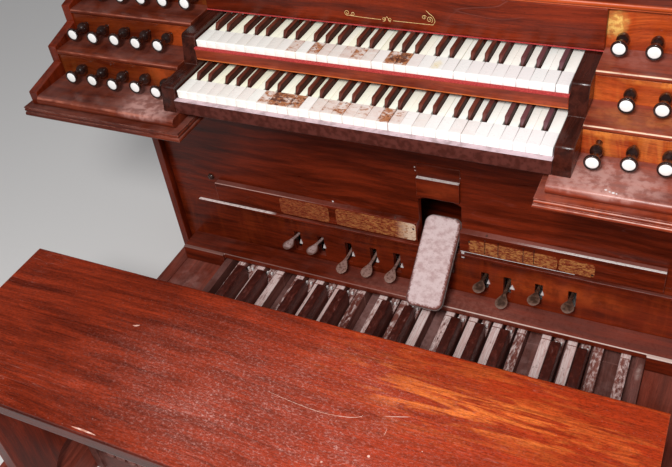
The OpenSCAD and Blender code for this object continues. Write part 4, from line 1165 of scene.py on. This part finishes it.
class ORGAN_OT_swell(bpy.types.Operator):
    """Makes the pale tread of the swell shoe and finishes its iron"""

    bl_idname = "organ.swell"
    bl_label = "Swell shoe"

    def execute(self, context):
        # Half the tread's width and length, and its place along and over the shoe from the pivot
        half_w, half_l, shift, lift = 0.047, 0.1185, 0.006, 0.040
        inset = np.array([0.036, 0.020, 0.012, 0.007, 0.004, 0.002, 0.0006, 0.0, 0.0, 0.0006, 0.036])
        depth = np.array([0.0, 0.0, 0.0001, 0.0003, 0.0007, 0.0015, 0.0032, 0.005, 0.0078, 0.009,
                          0.009])
        ring = corner_ring(inset - half_w, half_w - inset, inset - half_l, half_l - inset,
                           np.maximum(0.020 - inset, 0.002), 8)
        z = np.broadcast_to((lift - depth)[:, None], ring.shape[:2])
        local = np.stack([ring[..., 0], ring[..., 1] + shift, z], -1)[:, ::-1]
        rubber = plain("dusty rubber", (0.53, 0.34, 0.33), (0.73, 0.56, 0.55), scale=52.0,
                       roughness=0.7, bump=0.3, patches=(0.3, 0.6), stretch=(1.0, 1.4, 1.0),
                       extra=self.rim_grime_and_shadow)
        rim = np.interp(inset, [0.0, 0.004, 0.012], [1.0, 0.7, 0.0])[:, None]
        # Painted shadow: the rim is made darker along the tread's right side, and also at its foot.
        right = np.clip((local[..., 0] - 0.02) / 0.02, 0, 1)
        foot = np.clip((-local[..., 1] - 0.08) / 0.02, 0, 1)
        rim = rim * np.clip(0.35 + right + foot, 0.0, 1.0)
        shape = tubes((turned_about_x(local, SHOE_SLOPE) + SHOE_PIVOT)[None])
        tread = piece("tread_rubber", shape, "leather", rubber, "swell", rim=rim)
        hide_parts("swell_tread")
        iron = plain("swell iron", (0.05, 0.025, 0.02), (0.16, 0.09, 0.08), scale=80.0, dust=0.2)
        dress(["swell_shoe", "swell_bracket"], iron)
        return {"FINISHED"}

    @staticmethod
    def rim_grime_and_shadow(g, place, below):
        """Dark specks, and a dark rim broken up by them: grime round the edge, with painted shadow
        along the right side.
        """
        specks = g.span(g.noise(place, 160.0, 4.0, 0.7), 0.62, 0.42)
        rim = g.span(g.plus(g.given("rim"), g.by(specks, 0.35)), 0.55, 1.05)
        spots = g.span(g.noise(place, 300.0, 3.0, 0.65), 0.58, 0.70)
        below = g.mix(g.by(spots, 0.55), below, (0.40, 0.20, 0.18))
        return g.mix(rim, below, (0.22, 0.07, 0.055))


class ORGAN_OT_pedals(bpy.types.Operator):
    """Makes the pedal keys and their felts, and finishes their frame, the ledge and the blocks"""

    bl_idname = "organ.pedals"
    bl_label = "Pedalboard"

    def execute(self, context):
        low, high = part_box("pedal_naturals")
        pitch = (high.x - low.x - PEDAL_WIDTH) / (PEDALS - 1)
        centres = low.x + PEDAL_WIDTH / 2 + np.arange(PEDALS) * pitch
        has_sharp = np.isin(np.arange(PEDALS - 1) % 7, SHARP_STEPS)
        sharp_centres = (centres[:-1] + pitch / 2)[has_sharp]
        maple = worn_maple("worn maple", settings())
        self.naturals(centres, maple)
        self.sharps(sharp_centres, maple)
        self.felts(sharp_centres)
        self.boards()
        return {"FINISHED"}

    @staticmethod
    def naturals(centres, maple):
        """Bars with rounded edges that are worn hollow along their length, with a groove across.

        Each stands aside and lies lower by its own random step, and carries its wear."""
        low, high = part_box("pedal_naturals")
        rng = np.random.default_rng(SEED + 1)
        r, groove = sizes().pedal_round, PEDAL_GROOVE
        y = np.array([low.y, low.y + 0.3 * r, low.y + r, -0.22, -0.06, 0.08, 0.20, groove - 0.0014,
                      groove - 0.0010, groove + 0.0010, groove + 0.0014, high.y - 0.002, high.y])
        inset = np.array([r, 0.3 * r, 0, 0, 0, 0, 0, 0, 0.0006, 0.0006, 0, 0, 0.001])
        dip = np.array([r, 0.3 * r, 0, 0.0006, 0.0016, 0.0022, 0.0008, 0, 0.0014, 0.0014, 0, 0,
                        0.001])
        stations = np.broadcast_to(y, (PEDALS, len(y)))
        lean = rng.normal(0, 0.0006, PEDALS)[:, None]
        left = centres[:, None] - PEDAL_WIDTH / 2 + inset + lean
        right = centres[:, None] + PEDAL_WIDTH / 2 - inset + lean
        top = high.z - dip - np.abs(rng.normal(0, 0.0007, PEDALS))[:, None]
        rings = bars_along_y(stations, left, right, low.z, top, np.full(stations.shape, r))
        behind = np.where(y > groove + 0.0012, 0.25, 0.0)[None, :, None]
        wear = np.clip(np.array(PEDAL_WEAR)[:, None, None] + behind, 0.0, 1.0)
        wear = np.where((np.abs(y - groove) < 0.0012)[None, :, None], 0.0, wear)
        shape = rings.shape[:3]
        made = piece("pedal_keys", tubes(rings), "maple", maple, crease=45,
                     wear=np.broadcast_to(wear, shape), cap=np.zeros(shape))
        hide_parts("pedal_naturals")

    @staticmethod
    def sharps(centres, maple):
        """Bars with rounded edges, each with a raised block that slopes up from its front."""
        low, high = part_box("pedal_sharps")
        r = sizes().pedal_round
        # The ends of the raised blocks, and the height of the beam under them
        front, back, beam = 0.060, 0.206, 0.098
        y = np.array([low.y, low.y + r, front - 0.001, front, front + 0.004, front + 0.010,
                      front + 0.024, back - 0.006, back - 0.001, back, back + 0.001, high.y])
        top = np.array([beam - r, beam, beam, beam + 0.014, high.z - 0.012, high.z - 0.003, high.z,
                        high.z - 0.001, high.z - 0.004, high.z - 0.012, beam, beam])
        stations = np.broadcast_to(y, (len(centres), len(y)))
        middle = np.broadcast_to(centres[:, None], stations.shape)
        rings = bars_along_y(stations, middle - PEDAL_WIDTH / 2, middle + PEDAL_WIDTH / 2, low.z,
                             np.broadcast_to(top, stations.shape), np.full(stations.shape, r))
        shape = rings.shape[:3]
        raised = (top > beam + 0.0001)[None, :, None]
        cap = np.broadcast_to(raised, shape) & (rings[..., 2] > beam + 0.001)
        made = piece("pedal_sharp_keys", tubes(rings), "ebony", maple, crease=45,
                     wear=np.full(shape, 0.35), cap=cap.astype(float))
        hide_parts("pedal_sharps")

    @staticmethod
    def felts(centres):
        """Two small pale blocks on each sharp, behind its raised block."""
        pale = plain("pedal felt", (0.78, 0.70, 0.68), (0.92, 0.88, 0.86), scale=200.0,
                     roughness=0.9)
        x = (centres[:, None] + np.array([-0.0065, 0.0065])).ravel()
        middle = np.stack([x, np.full_like(x, 0.242), np.full_like(x, 0.1025)], -1)
        reach = np.array([0.0022, 0.003, 0.0045])
        piece("pedal_felts", blocks(middle - reach, middle + reach, 0.0008), "leather", pale)

    def boards(self):
        """Finishes the toe ledge, the pedal frame and the side blocks."""
        s = settings()
        # Dust on the ledge's top, and a painted highlight along its front edge.
        middle = several(
            patch((0.42, 0.15, 0.11), (0.10, 0.262, 0.13), (0.36, 0.06, 0.02), 0.45, grit=70.0),
            pale_top_wear_and_highlight((0.40, 0.15, 0.12), -0.3, 0.0, 0.25),
            self.front_edge_highlight)
        ledge = wood("toe ledge wood", s.case_dark, s.case_light, dust=0.12, wear=0.5,
                     dusty=(0.40, 0.15, 0.12), worn=(0.50, 0.22, 0.17), gloss=0.42, coat=0.1,
                     offset=(5.0, 5.0, 0.0), extra=middle)
        board = patch((0.40, 0.22, 0.20), (0.0, -0.05, 0.06), (0.75, 0.5, 0.02), 0.75, grit=40.0)
        # A painted highlight: a small pale spot on the frame near its right end.
        glint_spot = patch((0.80, 0.62, 0.55), (0.583, 0.21, 0.12), (0.012, 0.05, 0.02), 0.8)
        framing = wood("pedal frame wood", (0.13, 0.040, 0.030), (0.24, 0.085, 0.068), axis="Y",
                       dust=0.3, gloss=0.5, coat=0.0, offset=(1.0, 1.0, 2.0),
                       dusty=(0.40, 0.22, 0.20), extra=several(board, glint_spot))
        dusty = patch((0.44, 0.20, 0.17), (-0.68, 0.0, 0.08), (0.12, 0.26, 0.03), 0.75, grit=36.0)
        low_blocks = wood("block wood", (0.12, 0.020, 0.010), (0.27, 0.050, 0.028), axis="Y",
                          dust=0.25, gloss=0.5, coat=0.0, wear=0.6, dusty=(0.36, 0.14, 0.11),
                          shade_falloff=0.0, extra=dusty)
        dress(["toe_ledge"], ledge)
        dress(["pedal_frame"], framing)
        dress(["side_blocks"], low_blocks)
        soften(["toe_ledge", "side_blocks"], 0.0022)

    @staticmethod
    def front_edge_highlight(g, place, below):
        """A painted highlight on the ledge's front edge, brighter at its right half."""
        xyz = g.parts(place)
        edge = g.times(g.span(xyz["Y"], 0.2528, 0.2512), g.span(xyz["Z"], 0.127, 0.1285))
        along = g.span(xyz["X"], -0.1, 0.2, 0.15, 1.0)
        return g.mix(g.times(edge, along, 0.9), below, (0.86, 0.66, 0.58))


class ORGAN_OT_bench(bpy.types.Operator):
    """Finishes the bench's seat and its ends, and makes the chips and scratches in the seat"""

    bl_idname = "organ.bench"
    bl_label = "Bench"

    def execute(self, context):
        s = settings()
        dress(["bench_seat"], bench_wood("bench mahogany", s))
        dress(["bench_frame"],
              wood("bench end mahogany", s.case_dark, s.case_light, axis="Z", dust=0.2, wear=0.8))
        soften(["bench_frame"], 0.002)
        scratched = plain("scratched wood", (0.52, 0.22, 0.15), (0.80, 0.52, 0.44), scale=90.0,
                          roughness=0.7)
        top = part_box("bench_seat")[1].z
        lines = [
            [(0.015, -0.447), (0.07, -0.4535), (0.126, -0.456), (0.17, -0.450), (0.190, -0.442),
             (0.193, -0.437)],
            [(0.226, -0.428), (0.248, -0.421), (0.269, -0.414)],
            [(0.241, -0.449), (0.2415, -0.457), (0.241, -0.464)],
            [(-0.276, -0.631), (-0.25, -0.6306), (-0.222, -0.6315)],
            [(-0.313, -0.394), (-0.305, -0.3925), (-0.299, -0.389)],
        ]
        shapes = []
        for number, corners in enumerate(lines):
            path = through(corners, 6)
            path = np.column_stack([path, np.full(len(path), top)])
            wide = 0.0016 if number in (3, 4) else 0.00045
            taper = np.sin(np.linspace(0.0, math.pi, len(path))) ** 0.5 * wide + 0.0001
            section = np.stack([ellipse(w, 0.00009, 8) for w in taper])
            shapes.append(tubes(sweep(path, section, (0, 0, 1))[None]))
        for x, y, radius in ((0.233, -0.508, 0.0028), (0.166, -0.544, 0.0024), (-0.305, -0.392, 0.0026),
                             (0.31, -0.47, 0.0013)):
            shapes.append(dome((x, y, top - 0.0001), radius, 0.0002, 2, 12))
        piece("seat_scratches", joined(*shapes), "mahogany", scratched, crease=60)
        return {"FINISHED"}


class ORGAN_OT_trim(bpy.types.Operator):
    """Makes the felts, the gilt ornament, the plates' finish and the small fittings on the boards"""

    bl_idname = "organ.trim"
    bl_label = "Trim"

    def execute(self, context):
        size = sizes()
        felt = plain("red felt", (0.34, 0.020, 0.022), (0.52, 0.06, 0.05), scale=400.0,
                     roughness=0.95, bump=0.4)
        pale = plain("pale felt", (0.72, 0.62, 0.60), (0.90, 0.86, 0.84), scale=300.0, roughness=0.9)
        low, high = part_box("nameboard")
        slip_low, slip_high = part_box("key_slips")
        # The strip at the nameboard's foot, and the one on the upper slip before the keys
        strips = blocks([(low.x, low.y - 0.0032, 0.9348), (slip_low.x, 0.0934, 0.9042)],
                        [(high.x, low.y, 0.9370), (slip_high.x, 0.1018, 0.9083)], 0.0008)
        piece("red_felts", strips, "leather", felt)
        self.ornament(low.y, size.gilt)
        self.fittings(pale)
        plates = plain("worn gilt plate", (0.17, 0.018, 0.005), (0.34, 0.07, 0.018), scale=130.0,
                       roughness=0.5, bump=0.2, patches=(0.42, 0.66), stretch=(1.0, 1.0, 2.2),
                       extra=self.gilding)
        dress(["label_plates"], plates)
        return {"FINISHED"}

    @staticmethod
    def gilding(g, place, below):
        """More gilt left towards the right, and a cream end on the second plate."""
        x = g.parts(place)["X"]
        worn = g.span(g.noise(g.scaled(place, (1.0, 1.0, 2.4)), 110.0, 5.0, 0.7), 0.44, 0.6)
        right = g.times(worn, g.span(x, -0.42, 0.10, 0.2, 0.9))
        below = g.mix(right, below, (0.56, 0.23, 0.065))
        streak = g.span(g.noise(g.scaled(place, (1.0, 1.0, 6.0)), 30.0, 3.0), 0.55, 0.6)
        below = g.mix(g.by(streak, 0.3), below, (0.20, 0.026, 0.01))
        grit = g.span(g.noise(place, 160.0, 4.0, 0.65), 0.3, 0.5)
        cream = g.times(g.span(x, -0.06, -0.012), g.math("LESS_THAN", x, -0.001), grit, 0.8)
        return g.mix(cream, below, (0.88, 0.66, 0.48))

    @staticmethod
    def ornament(face, half):
        """Two gilt lines on the nameboard with a scroll at each end and a small knot in the middle."""
        gilt = plain("gilding", (0.66, 0.42, 0.14), (0.90, 0.68, 0.34), scale=300.0, roughness=0.4,
                     metallic=0.2)

        def curl(x, z, radius, start, turns, count=28):
            """A scroll about a centre that winds in from a radius."""
            t = np.linspace(0.0, 1.0, count)
            angle = math.radians(start) + turns * 2 * math.pi * t
            reach = radius * (1.0 - 0.82 * t)
            return np.stack([x + reach * np.cos(angle), z + reach * np.sin(angle)], -1)

        paths = [
            [(-0.0865, 0.9550), (-0.05, 0.9532), (-0.010, 0.9523)],
            [(0.0157, 0.9524), (0.055, 0.9522), (0.099, 0.9521)],
            curl(-0.0835, 0.9602, 0.0062, 270, -1.4),
            curl(-0.0715, 0.9590, 0.0050, 200, 1.3),
            curl(-0.0040, 0.9540, 0.0046, 250, 1.3),
            curl(0.0095, 0.9540, 0.0046, 290, -1.3),
            [(-0.0030, 0.9500), (0.0028, 0.9595), (0.0085, 0.9500)],
            [(0.0990, 0.9521), (0.1035, 0.9600), (0.1000, 0.9690), (0.0930, 0.9745), (0.0860, 0.9810)],
            curl(0.0925, 0.9625, 0.0070, 300, 1.5),
            curl(0.0815, 0.9660, 0.0050, 20, 1.3),
        ]
        shapes = []
        for corners in paths:
            flat = through(corners, 5) if len(corners) < 8 else corners
            path = np.insert(flat, 1, face - 0.0001, axis=1)
            shapes.append(tubes(sweep(path, ellipse(half, 0.0003, 8), (0, -1, 0))[None]))
        piece("gilt_ornament", joined(*shapes), "brass", gilt, crease=60)

    @staticmethod
    def fittings(pale):
        """Pale wedges, pins, specks and strips, and the dark dividers, screws, pins and peg."""
        # The wedges' middles and feet, the half of their widths, and their two ends
        x = np.array([-0.3620, -0.2880, -0.2000, -0.1275, -0.0560, 0.1840, 0.2460, 0.3230])
        z = np.array([0.175, 0.177, 0.171, 0.169, 0.169, 0.180, 0.179, 0.182])
        half = np.where(np.arange(8) == 6, 0.0065, 0.0042)
        ends = (KNEE_FACE - 0.0030, KNEE_FACE + 0.0002)
        across = np.stack([x - half, x, x + half], -1)
        above = np.stack([z, z + 0.015, z], -1)
        wedges = tubes(np.stack([np.stack([across, 0.0 * across + y, above], -1) for y in ends], 1))
        pins = [dome((px, KNEE_FACE - 0.0001, pz), radius, 0.001, 1, 14) for px, pz, radius in (
            (-0.241, 0.354, 0.0026), (0.111, 0.505, 0.0022), (-0.002, 0.516, 0.0020),
            (-0.001, 0.506, 0.0016))]
        specks = [dome((px, py, TREAD_TOP - 0.0001), radius, 0.0004, 2, 12) for px, py, radius in (
            (0.4855, -0.0285, 0.0024), (0.4925, -0.0320, 0.0018), (0.4985, -0.0335, 0.0026),
            (0.5040, -0.0345, 0.0015))]
        # A small block to the right of the shoe, and a thin pale line under the right plates that
        # stands for a painted highlight along the rail's lower edge
        strips = blocks([(0.1145, 0.3110, 0.257), (0.117, 0.2974, 0.2920)],
                        [(0.1215, 0.3185, 0.283), (0.40, 0.2984, 0.2932)])
        piece("pale_fittings", joined(wedges, strips, *pins, *specks), "leather", pale)

        dark = plain("dark fittings", (0.035, 0.012, 0.008), (0.10, 0.035, 0.022), roughness=0.26,
                     coat=0.4, bump=0.05)
        plate, rail_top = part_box("label_plates")[0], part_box("label_rail")[1].z
        screws = [dome((px, plate.y + 0.0002, pz), 0.0032, 0.0016, 1) for px, pz in (
            (0.140, 0.330), (-0.007, 0.335), (0.440, 0.304))]
        pins = [dome((px, 0.304, rail_top - 0.0002), 0.003, 0.005, 2) for px in (-0.058, 0.182)]
        peg = dome((-0.621, KNEE_FACE + 0.0002, 0.358), 0.010, 0.009, 1, 28)
        dividers = (0.180, 0.213, 0.275, 0.301)
        low = [(px - 0.0009, plate.y - 0.0004, 0.300) for px in dividers]
        high = [(px + 0.0009, plate.y + 0.0003, 0.346) for px in dividers]
        shapes = joined(peg, *screws, *pins, blocks(low, high, 0.0002))
        piece("dark_fittings", shapes, "iron", dark)


class ORGAN_OT_stage(bpy.types.Operator):
    """Sets the floor, the lamps, the world and the camera"""

    bl_idname = "organ.stage"
    bl_label = "Stage"

    def execute(self, context):
        scene = context.scene
        side = 9.0
        mesh = bpy.data.meshes.new("floor")
        mesh.from_pydata([(-side, -side, 0), (side, -side, 0), (side, side, 0), (-side, side, 0)],
                         [], [(0, 1, 2, 3)])
        floor = bpy.data.objects.new("floor", mesh)
        scene.collection.objects.link(floor)
        material, g = new_material("pale floor")
        finish(g, (0.82, 0.80, 0.78), 0.9)
        mesh.materials.append(material)

        world = bpy.data.worlds.new("stage light")
        world.use_nodes = True
        world.node_tree.nodes.clear()
        g = Graph(world.node_tree)
        rays = g.add("ShaderNodeLightPath").outputs
        strength = g.span(rays["Is Glossy Ray"], 0.0, 1.0, 0.30, 0.07, smooth=False)
        strength = g.math("MAXIMUM", strength, g.by(rays["Is Camera Ray"], 0.9))
        background = g.add("ShaderNodeBackground", {"Color": (0.96, 0.97, 1.0), "Strength": strength})
        g.add("ShaderNodeOutputWorld", {"Surface": background.outputs[0]})
        scene.world = world

        self.lamp("key_lamp", (0.47, -1.60, 2.32), (0.05, 0.10, 0.66), size=0.5, power=56.0)
        self.lamp("fill_lamp", (-1.6, -2.0, 2.6), (0.0, 0.1, 0.5), size=2.2, power=14.0)
        self.camera(scene)
        scene.view_settings.view_transform = "Standard"
        return {"FINISHED"}

    @staticmethod
    def lamp(name, place, target, size, power):
        """A round lamp at a place, turned to face a target."""
        light = bpy.data.lights.new(name, "AREA")
        light.shape = "DISK"
        light.size = size
        light.energy = power
        lamp = bpy.data.objects.new(name, light)
        bpy.context.scene.collection.objects.link(lamp)
        away = np.array(place) - np.array(target)
        away /= np.linalg.norm(away)
        right = np.cross((0, 0, 1), away)
        right /= np.linalg.norm(right)
        up = np.cross(away, right)
        matrix = np.eye(4)
        matrix[:3] = np.stack([right, up, away, place], -1)
        lamp.matrix_world = Matrix(matrix.tolist())

    @staticmethod
    def camera(scene):
        """The camera: its three directions in the part's frame, and its place in metres."""
        # The focal length and the picture's width in pixels, and the sensor's width in millimetres
        focal, picture, sensor = 827.185, 672.0, 36.0
        right = (0.90305546, 0.41444154, -0.11282306)
        down = (0.19386423, -0.62767208, -0.75395253)
        ahead = (-0.38328513, 0.6589886, -0.64716809)
        place = (0.62276, -1.17555, 1.70704)
        data = bpy.data.cameras.new("camera")
        data.sensor_width = sensor
        data.lens = focal * sensor / picture
        data.clip_start = 0.02
        camera = bpy.data.objects.new("camera", data)
        scene.collection.objects.link(camera)
        rows = [[right[i], -down[i], -ahead[i], place[i]] for i in range(3)]
        camera.matrix_world = Matrix(rows + [[0.0, 0.0, 0.0, 1.0]])
        scene.camera = camera


OPERATORS = (
    ORGAN_OT_stage, ORGAN_OT_case, ORGAN_OT_jambs, ORGAN_OT_keys, ORGAN_OT_stops, ORGAN_OT_levers,
    ORGAN_OT_swell, ORGAN_OT_pedals, ORGAN_OT_bench, ORGAN_OT_trim,
)


class ORGAN_PT_panel(bpy.types.Panel):
    """The console's operators, in the sidebar"""

    bl_idname = "ORGAN_PT_panel"
    bl_label = "Organ Console"
    bl_space_type = "VIEW_3D"
    bl_region_type = "UI"
    bl_category = "Organ"

    def draw(self, context):
        for operator in OPERATORS:
            self.layout.operator(operator.bl_idname)


CLASSES = (OrganFinish, OrganSizes) + OPERATORS + (ORGAN_PT_panel,)


def register():
    for cls in CLASSES:
        bpy.utils.register_class(cls)
    bpy.types.Scene.organ_finish = bpy.props.PointerProperty(type=OrganFinish)
    bpy.types.Scene.organ_sizes = bpy.props.PointerProperty(type=OrganSizes)


def unregister():
    del bpy.types.Scene.organ_sizes
    del bpy.types.Scene.organ_finish
    for cls in reversed(CLASSES):
        bpy.utils.unregister_class(cls)


def main():
    register()
    bpy.ops.organ.stage()
    bpy.ops.organ.case()
    bpy.ops.organ.jambs()
    bpy.ops.organ.keys()
    bpy.ops.organ.stops()
    bpy.ops.organ.levers()
    bpy.ops.organ.swell()
    bpy.ops.organ.pedals()
    bpy.ops.organ.bench()
    bpy.ops.organ.trim()


if __name__ == "__main__":
    main()
